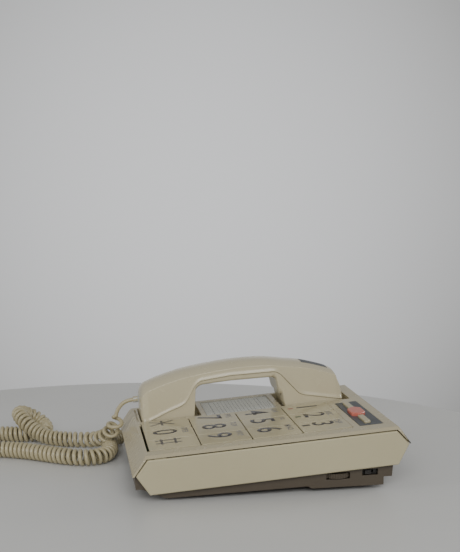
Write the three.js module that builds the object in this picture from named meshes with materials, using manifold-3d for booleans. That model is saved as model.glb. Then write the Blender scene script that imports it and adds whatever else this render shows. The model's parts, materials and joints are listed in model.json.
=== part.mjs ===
// A wedge-shaped desk telephone with large push keys, a handset on a side cradle and a curly cord.
// Millimetres, +X to the user's right, +Y to the rear, +Z up, standing on its feet at z = 0.
import * as THREE from 'three';
import { mergeVertices } from 'three/addons/utils/BufferGeometryUtils.js';
import Module from 'manifold-3d';

const wasm = await Module();
wasm.setup();

// ---- driving dimensions ----
const GAP = 0.3;                    // between touching pieces
const DECK_TILT = 4;                // degrees, the rear is higher
const DECK_HEIGHT = 43.8;           // deck plane above the table at the key field's front edge

const BODY_WIDTH = 180;
const EDGE_CHAMFER_WIDTH = 4.6;
const EDGE_CHAMFER_DROP = 3;
const DECK_FRONT = -4.5;
const REAR_MARGIN = 39;             // from the key field's rear edge to the deck's
const NOSE_REACH = 9.9;             // how far the rear nose runs past the deck
const NOSE_FRONT = -17.5;
const NOSE_DROP = 16.5;
const PARTING_DROP = 17;            // plane where the upper shell meets the base
const SHELL_WALL = 2.5;

const PANEL_THICKNESS = 5.7;
const PANEL_FRONT = -3.5;
const PANEL_TOP = -3;
const PANEL_BOTTOM = -35.5;
const PANEL_NOSE = 11.3;            // reach of the pointed ends beyond the panel's top corners
const PANEL_SEAM = 0.6;
const PANEL_BEVEL = 0.9;

const KEY_BORDER = 17;              // from the key field to the body's right side
const KEY_PITCH_X = 31.74;
const KEY_PITCH_Y = 47.5;
const KEY_ROWS = 4;
const KEY_COLUMNS = 3;
const KEY_CLEARANCE = 0.45;         // each side of a key
const KEY_PROUD = 0.5;
const KEY_TOP_THICKNESS = 2.4;
const KEY_SKIRT = 6;
const KEY_WALL = 1.4;
const KEY_POST = 8;
const KEY_TRAVEL = 2.5;
const KEY_CORNER = 1.6;
const FRONT_SLOT = 1.6;
const BOARD_THICKNESS = 1.6;
const MAT_THICKNESS = 1.2;
const DOME_HEIGHT = 1.7;
const DOME_CLEARANCE = 0.3;         // dome to key post with the key fully down

const FUNCTION_PLATE_WIDTH = 85.7;
const FUNCTION_PLATE_DEPTH = 22.1;
const FUNCTION_PLATE_THICKNESS = 0.9;
const FUNCTION_PLATE_SIDE = 1.9;    // in from the key field's right edge
const FUNCTION_PLATE_GAP = 7.3;     // behind the key field
const FUNCTION_KEY_DEPTH = 6;
const FUNCTION_KEY_SETBACK = 9.3;   // from the plate's front edge to the keys' middle
const FUNCTION_KEY_PROUD = 2.2;
const FUNCTION_KEY_TRAVEL = 1.4;
const RED_KEY_WIDTH = 25;
const RED_KEY_DEPTH = 13.5;
const RED_KEY_PROUD = 3.4;
const FUNCTION_KEY_CLEARANCE = 0.4;
const FUNCTION_KEY_EDGE = 0.5;
const FUNCTION_KEY_MARGIN = 6;      // from a long key's outer end to the plate's end

const HANDSET_WIDTH = 50;
const HANDSET_BORDER = 11.2;        // from the handset to the body's left side
const HANDSET_WALL = 2.4;
const HANDSET_ROUND = 7;
const HANDSET_END_ROUND = 9;
const BELL_DROP = 7.6;              // how far the bells reach below the deck
const WELL_DEPTH = 8;
const WELL_CLEARANCE = 1.4;

const BASE_WALL = 2.5;
const BASE_FRONT_Y = 14;            // the underside slopes up from here
const BASE_FRONT_RISE = 3.2;
const BASE_MIDDLE_RISE = 6.6;
const BASE_STEP_RUN = 3.5;
const REAR_BLOCK_LENGTH = 72;
const REAR_BLOCK_CLEARANCE = 4.3;   // base underside above the table at the rear
const REAR_BLOCK_SETBACK = 13;      // from the deck's rear edge
const BASE_SHELF_SETBACK = 5;
const BASE_SHELF_Z = 12;

const FOOT_INSET = 18;              // from the base's sides
const FOOT_FRONT_Y = 34;
const FOOT_REAR_SETBACK = 33;
const SCREW_INSET = 7;
const SCREW_FRONT_Y = 24.9;
const SCREW_REAR_SETBACK = 37.3;
const SCREW_RADIUS = 1.5;
const SCREW_HEAD_RADIUS = 3.1;
const POST_RADIUS = 3.5;
const PEG_FRONT_Y = 40;
const PEG_REAR_SETBACK = 79;
const PEG_Z = -24;
const PEG_HALF = 2.2;
const FOOT_RADIUS = 7;
const FOOT_STEM = 2.5;
const WHEEL_RADIUS = 14;
const WHEEL_THICKNESS = 4.6;
const WHEEL_BORE = 2.1;
const WHEEL_PROUD = 2.3;
const WHEEL_SETBACK = 56.6;
const WHEEL_Z = 15;
const SWITCH_SETBACK = 26.2;
const SWITCH_Z = 16.9;
const SWITCH_SLOT = 15;
const SWITCH_HEIGHT = 5.6;
const SWITCH_THROW = 4;
const RINGER_X = -30;
const RINGER_SETBACK = 43;
const JACK_SETBACK = 64;
const JACK_Z = 12.6;
const LINE_JACK_X = 40;
const LINE_JACK_Z = 20.2;
const PLUG_WIDTH = 7.6;
const PLUG_HEIGHT = 6.6;
const PLUG_LENGTH = 11;
const PLUG_BOOT = 5;
const HANDSET_PLUG_Z = 17.2;

const WIRE_RADIUS = 2;
const COIL_RADIUS = 8.5;

// ---- colours ----
const IVORY = { color: 0xc9c1a5, roughness: 0.35, metalness: 0 };
const TAUPE = { color: 0x5a5042, roughness: 0.55, metalness: 0 };
const KEY_IVORY = { color: 0xc4bc9e, roughness: 0.25, metalness: 0 };
const DARK = { color: 0x24221f, roughness: 0.5, metalness: 0 };
const SLATE = { color: 0x55595c, roughness: 0.45, metalness: 0 };
const RED = { color: 0xc9605a, roughness: 0.35, metalness: 0 };
const CARD = { color: 0xd9d7cb, roughness: 0.8, metalness: 0 };
const CLEAR = { color: 0xdfe4e2, roughness: 0.1, metalness: 0, transparent: true, opacity: 0.35 };
const BOARD = { color: 0x2f6b46, roughness: 0.6, metalness: 0 };
const RUBBER = { color: 0x2b2927, roughness: 0.9, metalness: 0 };
const STEEL = { color: 0x9a9c9e, roughness: 0.35, metalness: 1 };
const CORD = { color: 0xc4bb98, roughness: 0.4, metalness: 0 };

// ---- sizes that follow from those ----
const half = BODY_WIDTH / 2;
const tilt = THREE.MathUtils.degToRad(DECK_TILT);
const keyFieldRight = half - KEY_BORDER;
const keyFieldLeft = keyFieldRight - KEY_COLUMNS * KEY_PITCH_X;
const keyFieldRear = KEY_ROWS * KEY_PITCH_Y;
const deckRear = keyFieldRear + REAR_MARGIN;
const noseRear = deckRear + NOSE_REACH;
const rearOffset = deckRear / 2 - 2.9;      // from the key field's front edge to the middle of the footprint
const baseHalf = half - PANEL_THICKNESS - GAP;
const baseRear = deckRear - REAR_BLOCK_SETBACK;
const baseStep = baseRear - REAR_BLOCK_LENGTH;
const baseShelf = deckRear - BASE_SHELF_SETBACK;
const handsetX = -half + HANDSET_BORDER + HANDSET_WIDTH / 2;
const handsetLeft = handsetX - HANDSET_WIDTH / 2;
const handsetRight = handsetX + HANDSET_WIDTH / 2;
const plate = {
  left: keyFieldRight - FUNCTION_PLATE_SIDE - FUNCTION_PLATE_WIDTH,
  right: keyFieldRight - FUNCTION_PLATE_SIDE,
  front: keyFieldRear + FUNCTION_PLATE_GAP,
  rear: keyFieldRear + FUNCTION_PLATE_GAP + FUNCTION_PLATE_DEPTH,
};
const functionKeyY = plate.front + FUNCTION_KEY_SETBACK;
const boardRight = baseHalf - SCREW_INSET - POST_RADIUS - 1.5;
const wheelY = deckRear - WHEEL_SETBACK;
const switchY = deckRear - SWITCH_SETBACK;
const ringerY = deckRear - RINGER_SETBACK;
const jackY = deckRear - JACK_SETBACK;
const pegs = [[PEG_FRONT_Y, PEG_Z], [deckRear - PEG_REAR_SETBACK, PEG_Z]];
const receiverRadius = HANDSET_WIDTH * 0.34;
const microphoneRadius = HANDSET_WIDTH * 0.16;

// ---- scene graph ----
const telephone = new THREE.Group();
const level = new THREE.Group();      // pieces square to the table, y from the key field's front edge
const deck = new THREE.Group();       // pieces square to the tilted deck
level.position.y = -rearOffset;
deck.position.set(0, -rearOffset, DECK_HEIGHT);
deck.rotation.x = tilt;
telephone.add(level, deck);

function add(parent, name, solid, finish) {
  const mesh = solid.getMesh();
  const geometry = new THREE.BufferGeometry();
  geometry.setAttribute('position', new THREE.BufferAttribute(mesh.vertProperties, mesh.numProp));
  geometry.setIndex(new THREE.BufferAttribute(mesh.triVerts, 1));
  geometry.computeVertexNormals();
  const piece = new THREE.Mesh(geometry, new THREE.MeshStandardMaterial(finish));
  piece.name = name;
  parent.add(piece);
  return piece;
}

// ---- solids ----
function toSolid(geometry) {
  geometry.deleteAttribute('normal');
  geometry.deleteAttribute('uv');
  const merged = mergeVertices(geometry, 1e-4);
  const vertProperties = new Float32Array(merged.attributes.position.array);
  const triVerts = new Uint32Array(merged.index.array);
  return new wasm.Manifold(new wasm.Mesh({ numProp: 3, vertProperties, triVerts }));
}

function box(x0, x1, y0, y1, z0, z1) {
  const geometry = new THREE.BoxGeometry(x1 - x0, y1 - y0, z1 - z0);
  geometry.translate((x0 + x1) / 2, (y0 + y1) / 2, (z0 + z1) / 2);
  return toSolid(geometry);
}

function polygon(points) {
  return new THREE.Shape(points.map(([a, b]) => new THREE.Vector2(a, b)));
}

function roundedRectangle(x0, x1, y0, y1, radius) {
  const shape = new THREE.Shape();
  shape.absarc(x1 - radius, y0 + radius, radius, -Math.PI / 2, 0);
  shape.absarc(x1 - radius, y1 - radius, radius, 0, Math.PI / 2);
  shape.absarc(x0 + radius, y1 - radius, radius, Math.PI / 2, Math.PI);
  shape.absarc(x0 + radius, y0 + radius, radius, Math.PI, Math.PI * 1.5);
  return shape;
}

// An outline in (y, z) run along x, or in (x, y) run along z.
const ALONG_X = new THREE.Matrix4().set(0, 0, 1, 0, 1, 0, 0, 0, 0, 1, 0, 0, 0, 0, 0, 1);
const ALONG_Y = new THREE.Matrix4().set(1, 0, 0, 0, 0, 0, -1, 0, 0, 1, 0, 0, 0, 0, 0, 1);

function prism(shape, low, high, turn, bevel = 0, segments = 3, curveSegments = 4) {
  const geometry = new THREE.ExtrudeGeometry(shape, {
    depth: high - low - 2 * bevel,
    bevelEnabled: bevel > 0,
    bevelThickness: bevel,
    bevelSize: bevel,
    bevelOffset: -bevel,
    bevelSegments: segments,
    curveSegments,
  });
  geometry.translate(0, 0, low + bevel);
  if (turn) geometry.applyMatrix4(turn);
  return toSolid(geometry);
}

const prismX = (shape, x0, x1, bevel, segments) => prism(shape, x0, x1, ALONG_X, bevel, segments);
const prismY = (shape, y0, y1) => prism(shape, -y1, -y0, ALONG_Y);
const prismZ = (shape, z0, z1, bevel, segments) => prism(shape, z0, z1, null, bevel, segments);

// A turned piece about the z axis through (x, y), from a profile of [radius, z] that ends on the axis.
function turned(profile, x, y, segments = 16) {
  const points = profile.map(([r, z]) => new THREE.Vector2(r, z));
  const geometry = new THREE.LatheGeometry(points, segments);
  geometry.rotateX(Math.PI / 2);
  geometry.translate(x, y, 0);
  return toSolid(geometry);
}

function cylinder(radius, x, y, z0, z1, segments = 16) {
  return turned([[0, z0], [radius, z0], [radius, z1], [0, z1]], x, y, segments);
}

function tube(points, radius, sides, steps) {
  const section = new THREE.Shape();
  for (let i = 0; i < sides; i++) {
    const angle = (2 * Math.PI * i) / sides;
    const [a, b] = [radius * Math.cos(angle), radius * Math.sin(angle)];
    if (i === 0) section.moveTo(a, b);
    else section.lineTo(a, b);
  }
  const path = new THREE.CatmullRomCurve3(points.map((p) => new THREE.Vector3(...p)), false, 'centripetal');
  return toSolid(new THREE.ExtrudeGeometry(section, { steps, extrudePath: path, bevelEnabled: false }));
}

function joined(...solids) {
  return solids.reduce((sum, solid) => sum.add(solid));
}

function cut(solid, ...tools) {
  return tools.reduce((rest, tool) => rest.subtract(tool), solid);
}

// A point square to the table, (y, height), in the tilted deck's (y, z).
function onDeck(y, height) {
  const rise = height - DECK_HEIGHT;
  return [y * Math.cos(tilt) + rise * Math.sin(tilt), rise * Math.cos(tilt) - y * Math.sin(tilt)];
}

// ---- outlines of the housing, in the deck's (y, z) ----
const panelHeight = PANEL_TOP - PANEL_BOTTOM;
const panelNoseZ = PANEL_TOP - panelHeight * 0.42;
const panelRear = deckRear - 2;

function panelOutline(grow) {
  return polygon([
    [PANEL_FRONT - grow * 0.4, PANEL_TOP + grow],
    [panelRear + grow * 0.4, PANEL_TOP + grow],
    [panelRear + PANEL_NOSE + grow, panelNoseZ],
    [panelRear + grow * 0.4, PANEL_BOTTOM - grow],
    [PANEL_FRONT - grow * 0.4, PANEL_BOTTOM - grow],
    [PANEL_FRONT - PANEL_NOSE - grow, panelNoseZ],
  ]);
}

const wells = [
  { front: 2.4 - WELL_CLEARANCE, rear: 62 },
  { front: 145, rear: 217 },
];
const plunger = { width: 8, depth: 10, y: 181, shoulder: 2, clearance: 0.5 };
const directory = { left: handsetLeft, right: keyFieldLeft - 3.5, front: 67, rear: 139, depth: 1.8 };
const cardThickness = 0.4;
const label = { half: HANDSET_WIDTH * 0.26, front: 172, rear: 200, depth: 0.8 };

// The four corners of a rectangle about the y axis: front left, front right, rear left, rear right.
function corners(x, front, rear) {
  return [[-x, front], [x, front], [-x, rear], [x, rear]];
}

// A screw enters at a distance along the table, then runs square to the deck.
const screwCorners = corners(baseHalf - SCREW_INSET, SCREW_FRONT_Y, deckRear - SCREW_REAR_SETBACK);
const screws = screwCorners.map(([x, along]) => {
  const [y, seat] = onDeck(along, underside(along));
  return { x, y, seat };
});
const feet = corners(baseHalf - FOOT_INSET, FOOT_FRONT_Y, deckRear - FOOT_REAR_SETBACK);

function wellBox(well, grow, top) {
  const side = WELL_CLEARANCE + grow;
  const [front, rear] = [well.front - grow, well.rear + grow];
  return box(handsetLeft - side, handsetRight + side, front, rear, -WELL_DEPTH - grow, top);
}

// Places along the plate: -1 the left key, 0 the red key, 1 the right key.
const FUNCTION_KEYS = [-1, 0, 1];
const plateMiddle = (plate.left + plate.right) / 2;
const longKeyInner = RED_KEY_WIDTH / 2 + 2 * FUNCTION_KEY_CLEARANCE;
const longKeyOuter = FUNCTION_PLATE_WIDTH / 2 - FUNCTION_KEY_MARGIN;

function functionKeyX(place) {
  return plateMiddle + (place * (longKeyInner + longKeyOuter)) / 2;
}

function functionKeyOutline(place, grow) {
  const x = functionKeyX(place);
  const a = (longKeyOuter - longKeyInner) / 2 + grow;
  const b = FUNCTION_KEY_DEPTH / 2 + grow;
  return roundedRectangle(x - a, x + a, functionKeyY - b, functionKeyY + b, 1.5);
}

function redKeyOutline(grow) {
  const [a, b] = [RED_KEY_WIDTH / 2 + grow, RED_KEY_DEPTH / 2 + grow];
  const end = 1.5;
  const corner = RED_KEY_DEPTH / 2 - end;
  return polygon([
    [-a, -end], [-a + corner, -b], [a - corner, -b], [a, -end],
    [a, end], [a - corner, b], [-a + corner, b], [-a, end],
  ].map(([x, y]) => [x + plateMiddle, y + functionKeyY]));
}

// ---- upper shell ----
function topHousing() {
  const side = polygon([
    [NOSE_FRONT, -NOSE_DROP], [DECK_FRONT, 0], [deckRear, 0], [noseRear, -NOSE_DROP],
    [noseRear - 0.4, -PARTING_DROP], [NOSE_FRONT + 0.4, -PARTING_DROP],
  ]);
  const deckEdge = half - EDGE_CHAMFER_WIDTH;
  const across = polygon([
    [-half, -PARTING_DROP - 1], [half, -PARTING_DROP - 1], [half, -EDGE_CHAMFER_DROP], [deckEdge, 0],
    [-deckEdge, 0], [-half, -EDGE_CHAMFER_DROP],
  ]);
  const outside = prismX(side, -half, half).intersect(prismY(across, NOSE_FRONT - 1, noseRear + 1));
  const slope = (DECK_FRONT - NOSE_FRONT) / NOSE_DROP;
  const noseWall = 3.6;
  const cornerDrop = SHELL_WALL + 1.2;
  const hollow = prismX(polygon([
    [NOSE_FRONT + noseWall, -PARTING_DROP - 1],
    [NOSE_FRONT + noseWall + slope * (NOSE_DROP - cornerDrop), -cornerDrop],
    [DECK_FRONT + 1.6, -SHELL_WALL], [deckRear - 1.6, -SHELL_WALL],
    [noseRear - noseWall - 0.4, -PARTING_DROP - 1],
  ]), -baseHalf + SHELL_WALL, baseHalf - SHELL_WALL);
  const posts = screws.map(({ x, y, seat }) => {
    const low = seat + BASE_WALL + 0.9;
    const post = cylinder(POST_RADIUS, x, y, low, -1);
    return post.subtract(cylinder(SCREW_RADIUS + 0.15, x, y, low - 1, low + 12, 12));
  });
  const wellShells = wells.map((well) => wellBox(well, 2, -0.5));
  const shell = joined(outside.subtract(hollow), ...wellShells, ...posts);
  const pocket = panelOutline(PANEL_SEAM);
  const recess = directory;
  const hole = [plunger.width / 2 + plunger.clearance, plunger.depth / 2 + plunger.clearance];
  return cut(
    shell,
    prismX(pocket, baseHalf, half + 1),
    prismX(pocket, -half - 1, -baseHalf),
    ...wells.map((well) => wellBox(well, 0, 1)),
    box(keyFieldLeft, keyFieldRight, 0, keyFieldRear, -SHELL_WALL - 5, 1),
    box(keyFieldLeft + 6, keyFieldRight, -FRONT_SLOT, 1, -SHELL_WALL - 2, 1),
    box(handsetLeft + 1, handsetRight - 1.5, -FRONT_SLOT - 0.9, -FRONT_SLOT + 0.5, -1.5, 1),
    box(plate.left - GAP, plate.right + GAP, plate.front - GAP, plate.rear + GAP, -1, 1),
    prismZ(functionKeyOutline(-1, FUNCTION_KEY_CLEARANCE), -9, 1),
    prismZ(functionKeyOutline(1, FUNCTION_KEY_CLEARANCE), -9, 1),
    prismZ(redKeyOutline(FUNCTION_KEY_CLEARANCE), -9, 1),
    box(recess.left, recess.right, recess.front, recess.rear, -recess.depth, 1),
    box(handsetX - hole[0], handsetX + hole[0], plunger.y - hole[1], plunger.y + hole[1], -WELL_DEPTH - 4, 0),
  );
}

// ---- base ----
// Height of the base's outer underside at a distance y along the table.
function underside(y) {
  if (y > baseStep) return REAR_BLOCK_CLEARANCE;
  const share = (y - BASE_FRONT_Y) / (baseStep - BASE_FRONT_Y);
  return BASE_FRONT_RISE + (BASE_MIDDLE_RISE - BASE_FRONT_RISE) * share;
}

function baseOutline(wall, top) {
  const up = wall * 1.02;
  return polygon([
    [-15.2 + wall, top], [-15.2 + wall, -30.4 + wall], [-9.5 + wall * 0.5, -30.8 + wall],
    onDeck(BASE_FRONT_Y + wall * 0.4, BASE_FRONT_RISE + up),
    onDeck(baseStep + wall * 0.4, BASE_MIDDLE_RISE + up),
    onDeck(baseStep + BASE_STEP_RUN + wall * 0.4, REAR_BLOCK_CLEARANCE + up),
    onDeck(baseRear - wall, REAR_BLOCK_CLEARANCE + up),
    onDeck(baseRear - wall, BASE_SHELF_Z + up),
    onDeck(baseShelf - wall, BASE_SHELF_Z + up),
    onDeck(baseShelf + 1 - wall, BASE_SHELF_Z + 11),
    [noseRear - 2.6 - wall * 1.6, -PARTING_DROP - GAP - 1], [noseRear - 2.6 - wall * 1.6, top],
  ]);
}

function inLevel(solid) {
  const toDeck = new THREE.Matrix4().makeRotationX(-tilt);
  toDeck.multiply(new THREE.Matrix4().makeTranslation(0, 0, -DECK_HEIGHT));
  return solid.transform(toDeck.elements);
}

const wheelInset = WHEEL_RADIUS - WHEEL_PROUD - BASE_WALL;
const wheelSlot = Math.sqrt(WHEEL_RADIUS ** 2 - wheelInset ** 2) + 0.5;
const jackOpening = { half: PLUG_WIDTH / 2 + 0.7, height: PLUG_HEIGHT / 2 + 0.6 };

// A slot through the base's right wall.
function sideSlot(y, reach, z, rise) {
  return inLevel(box(baseHalf - 4, baseHalf + 1, y - reach, y + reach, z - rise, z + rise));
}

function basePan() {
  const top = -PARTING_DROP - GAP;
  const inside = prismX(baseOutline(BASE_WALL, top + 5), -baseHalf + BASE_WALL, baseHalf - BASE_WALL);
  const body = prismX(baseOutline(0, top), -baseHalf, baseHalf).subtract(inside);
  const screwHoles = screws.map(({ x, y, seat }) => joined(
    cylinder(SCREW_RADIUS + 0.3, x, y, seat - 2, seat + 5, 12),
    cylinder(SCREW_HEAD_RADIUS + 0.4, x, y, seat - 2, seat + 1.3, 12),
  ));
  const footHoles = feet.map(([x, y]) => inLevel(cylinder(FOOT_STEM + 0.3, x, y, -1, 12, 12)));
  const grille = [-2, -1, 0, 1, 2].map((i) => {
    const y = ringerY + 5 * i;
    return inLevel(box(RINGER_X - 16, RINGER_X + 16, y, y + 2, 0, 8));
  });
  const { half: w, height: h } = jackOpening;
  const pegHalf = PEG_HALF + GAP;
  const pegHoles = pegs.flatMap(([y, z]) => [-1, 1].map((side) => {
    const x = side * (baseHalf - 1.5);
    return box(x - 2.5, x + 2.5, y - pegHalf, y + pegHalf, z - pegHalf, z + pegHalf);
  }));
  return cut(
    body,
    ...screwHoles,
    ...footHoles,
    ...grille,
    ...pegHoles,
    sideSlot(wheelY, wheelSlot, WHEEL_Z, WHEEL_THICKNESS / 2 + 0.8),
    sideSlot(switchY, SWITCH_SLOT / 2, SWITCH_Z, SWITCH_HEIGHT / 2),
    inLevel(box(-baseHalf - 1, -baseHalf + 4, jackY - w, jackY + w, JACK_Z - h, JACK_Z + h)),
    inLevel(box(LINE_JACK_X - w, LINE_JACK_X + w, baseShelf - 4, baseShelf + 2,
      LINE_JACK_Z - h, LINE_JACK_Z + h)),
  );
}

function sidePanel(side) {
  const inner = baseHalf + GAP;
  const [x0, x1] = [inner, inner + PANEL_THICKNESS];
  const slab = prismX(panelOutline(0), x0 - PANEL_BEVEL, x1, PANEL_BEVEL, 1)
    .intersect(box(x0, x1, -50, 300, -60, 10));
  const catchTab = box(x0, x1 - 1.2, 3, 13, PANEL_TOP - 2, PANEL_TOP + GAP);
  const locators = pegs.map(([y, z]) => (
    box(x0 - 5.5, x0 + 1, y - PEG_HALF, y + PEG_HALF, z - PEG_HALF, z + PEG_HALF)
  ));
  const panel = joined(slab, catchTab, ...locators);
  return side > 0 ? panel : panel.mirror([1, 0, 0]);
}

function foot(x, y) {
  const top = underside(y) - GAP - 0.1;
  const inside = underside(y) + BASE_WALL + 0.6;
  return turned([
    [0, 0], [FOOT_RADIUS - 0.8, 0], [FOOT_RADIUS, 0.8], [FOOT_RADIUS, top - 0.3], [FOOT_STEM, top],
    [FOOT_STEM, inside], [FOOT_STEM + 1, inside + 0.6], [FOOT_STEM - 0.8, inside + 3], [0, inside + 3],
  ], x, y, 20);
}

function caseScrew({ x, y, seat }) {
  return turned([
    [0, seat + 0.4], [SCREW_HEAD_RADIUS, seat + 0.4],
    [SCREW_HEAD_RADIUS, seat + 1], [SCREW_RADIUS, seat + 1.2],
    [SCREW_RADIUS, seat + 13], [0, seat + 14],
  ], x, y, 12);
}

// ---- keys ----
const matTop = KEY_PROUD - KEY_TOP_THICKNESS - KEY_POST - KEY_TRAVEL - DOME_CLEARANCE - DOME_HEIGHT;
const boardTop = matTop - MAT_THICKNESS - GAP;
const domeTop = matTop + DOME_HEIGHT;
const boardRear = plate.rear - 3;

function key(row, column) {
  const x1 = keyFieldRight - (KEY_COLUMNS - 1 - column) * KEY_PITCH_X - KEY_CLEARANCE;
  const x0 = x1 - KEY_PITCH_X + 2 * KEY_CLEARANCE;
  const y0 = row * KEY_PITCH_Y + KEY_CLEARANCE;
  const y1 = y0 + KEY_PITCH_Y - 2 * KEY_CLEARANCE;
  const under = KEY_PROUD - KEY_TOP_THICKNESS;
  const body = prismZ(roundedRectangle(x0, x1, y0, y1, KEY_CORNER), KEY_PROUD - KEY_SKIRT, KEY_PROUD);
  const pocket = box(x0 + KEY_WALL, x1 - KEY_WALL, y0 + KEY_WALL, y1 - KEY_WALL, -20, under);
  const [cx, cy] = [(x0 + x1) / 2, (y0 + y1) / 2];
  const post = box(cx - 3, cx + 3, cy - 3, cy + 3, under - KEY_POST, under + 0.5);
  const rib = box(x0 + 0.5, x1 - 0.5, cy - 0.7, cy + 0.7, KEY_PROUD - KEY_SKIRT + 1, under + 0.5);
  return joined(body.subtract(pocket), post, rib);
}

function keyCentre(row, column) {
  return [
    keyFieldRight - (KEY_COLUMNS - 0.5 - column) * KEY_PITCH_X,
    (row + 0.5) * KEY_PITCH_Y,
  ];
}

function keyMat() {
  const low = matTop - MAT_THICKNESS;
  const sheet = box(keyFieldLeft + 2, boardRight - 0.5, 3, boardRear - 1.5, low, matTop);
  const centres = FUNCTION_KEYS.map((place) => [functionKeyX(place), functionKeyY]);
  for (let row = 0; row < KEY_ROWS; row++) {
    for (let column = 0; column < KEY_COLUMNS; column++) centres.push(keyCentre(row, column));
  }
  const domes = centres.map(([x, y]) => {
    const foot = matTop - 0.5;
    return turned([[0, foot], [5, foot], [3, domeTop], [0, domeTop]], x, y, 10);
  });
  return joined(sheet, ...domes);
}

const functionKeyLow = domeTop + DOME_CLEARANCE + FUNCTION_KEY_TRAVEL;

function functionKey(place) {
  return prismZ(functionKeyOutline(place, 0), functionKeyLow, FUNCTION_KEY_PROUD, FUNCTION_KEY_EDGE, 1);
}

function redKey() {
  return prismZ(redKeyOutline(0), functionKeyLow, RED_KEY_PROUD, FUNCTION_KEY_EDGE, 1);
}

function functionPlate() {
  const low = -1 + GAP;
  return cut(
    box(plate.left, plate.right, plate.front, plate.rear, low, low + FUNCTION_PLATE_THICKNESS),
    prismZ(functionKeyOutline(-1, FUNCTION_KEY_CLEARANCE), -9, 2),
    prismZ(functionKeyOutline(1, FUNCTION_KEY_CLEARANCE), -9, 2),
    prismZ(redKeyOutline(FUNCTION_KEY_CLEARANCE), -9, 2),
  );
}

// ---- handset, in the deck's (y, z) ----
const crown = new THREE.SplineCurve([
  [9.3, 32.5], [21, 36.6], [52, 43.6], [77.5, 46.4], [104, 47.8], [131.5, 47], [153, 43.6],
  [177, 38.8], [202.5, 29.8],
].map(([y, z]) => new THREE.Vector2(y, z)));

// The crown's line let down by a distance.
function crownLine(drop, steps = 16) {
  return crown.getPoints(steps).map((p) => [p.x, p.y - drop]);
}

const HANDSET_PARTING = [
  [-6, -6], [13.1, -0.2], [27.5, 5.7], [43.3, 10.9], [48.2, 14.4], [57.1, 29.2], [62.9, 34.2], [94.3, 36.6],
  [140.1, 36], [145.5, 33.5], [155.2, 21.8], [163.4, 11.7], [168, 8.8], [206, 0.4], [220, -3],
];

function handsetOutline() {
  const back = crownLine(0, 22);
  return polygon([
    [4, -BELL_DROP], [2.4, -3], [2.2, 20], [4.4, 27.5], ...back, [208.6, 17], [211.4, 4], [210, -BELL_DROP],
    [150.5, -BELL_DROP], [148, 2], [147.4, 10.2], [144.3, 10.8], [141.2, 27.4], [137.6, 30.4], [94, 31.2],
    [64, 30.2], [58.6, 26.4], [56.2, 2], [54.6, -BELL_DROP],
  ]);
}

// The crowned cross-section, swept along the back's arch and a little beyond each end.
function handsetCrown() {
  const w = HANDSET_WIDTH / 2;
  const section = new THREE.Shape();
  section.moveTo(-w, -90);
  section.lineTo(w, -90);
  section.absarc(w - HANDSET_ROUND, -HANDSET_ROUND, HANDSET_ROUND, 0, Math.PI / 2);
  section.absarc(-w + HANDSET_ROUND, -HANDSET_ROUND, HANDSET_ROUND, Math.PI / 2, Math.PI);
  const arch = [[-10, 26], ...crownLine(0, 10), [224, 22]];
  const path = new THREE.CatmullRomCurve3(arch.map(([y, z]) => new THREE.Vector3(handsetX, y, z)));
  return toSolid(new THREE.ExtrudeGeometry(section, {
    steps: 24, extrudePath: path, bevelEnabled: false, curveSegments: 4,
  }));
}

function handsetWhole() {
  const plan = roundedRectangle(handsetLeft, handsetRight, 2.2, 211.4, HANDSET_END_ROUND);
  return prismX(handsetOutline(), handsetLeft, handsetRight)
    .intersect(handsetCrown())
    .intersect(prismZ(plan, -BELL_DROP - 1, 60));
}

function aboveParting(drop) {
  const line = HANDSET_PARTING.map(([y, z]) => [y, z + drop]);
  return prismX(polygon([...line, [220, 80], [-6, 80]]), handsetLeft - 1, handsetRight + 1);
}

// The block that cuts the label's recess, or the label itself, out of a skin under the crown.
function labelBox(inset) {
  const reach = label.half - inset;
  return box(handsetX - reach, handsetX + reach, label.front + inset, label.rear - inset, 0, 80);
}

function handsetBack() {
  const inner = crownLine(HANDSET_WALL);
  const hollow = prismX(polygon([
    [2.2 + HANDSET_WALL, -20], [2.2 + HANDSET_WALL, 20], [8, 28], ...inner.slice(1, -1),
    [206, 16], [208.6, -20],
  ]), handsetLeft + HANDSET_WALL + 2, handsetRight - HANDSET_WALL - 2);
  const skin = prismX(polygon([...crownLine(label.depth), [202, 90], [9, 90]]), handsetLeft, handsetRight);
  return cut(
    handsetWhole().intersect(aboveParting(GAP)),
    hollow,
    labelBox(0).intersect(skin),
    plugBay(),
  );
}

function handsetFace() {
  const x0 = handsetLeft + HANDSET_WALL + 2;
  const x1 = handsetRight - HANDSET_WALL - 2;
  const front = polygon([[5.2, -5], [51.5, -5], [53.2, 22], [5.2, 22]]);
  const rear = polygon([[152.5, -5], [207, -5], [207, 14], [148.5, 30], [150.4, 9]]);
  const lower = polygon([...HANDSET_PARTING, [220, -40], [-6, -40]]);
  const below = prismX(lower, handsetLeft - 1, handsetRight + 1);
  const soundSlots = [[29, 4.8], [181, 6]];
  const reach = HANDSET_WIDTH * 0.18;
  const holes = soundSlots.flatMap(([middle, spacing]) => [-1, 0, 1].map((i) => {
    const y = middle + i * spacing;
    return box(handsetX - reach, handsetX + reach, y - 0.9, y + 0.9, -10, -4);
  }));
  return cut(
    handsetWhole().intersect(below),
    prismX(front, x0, x1),
    prismX(rear, x0, x1),
    plugBay(),
    ...holes,
  );
}

function handsetLabel() {
  const skin = polygon([...crownLine(label.depth - GAP), ...crownLine(0.1).reverse()]);
  return labelBox(GAP).intersect(prismX(skin, handsetLeft, handsetRight));
}

// The modular plug's bay in the front end of the handset.
function plugBay() {
  const clearance = 0.35;
  const w = PLUG_WIDTH / 2 + clearance;
  const h = PLUG_HEIGHT / 2 + clearance;
  return box(handsetX - w, handsetX + w, -2, 13, HANDSET_PLUG_Z - h, HANDSET_PLUG_Z + h);
}

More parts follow.
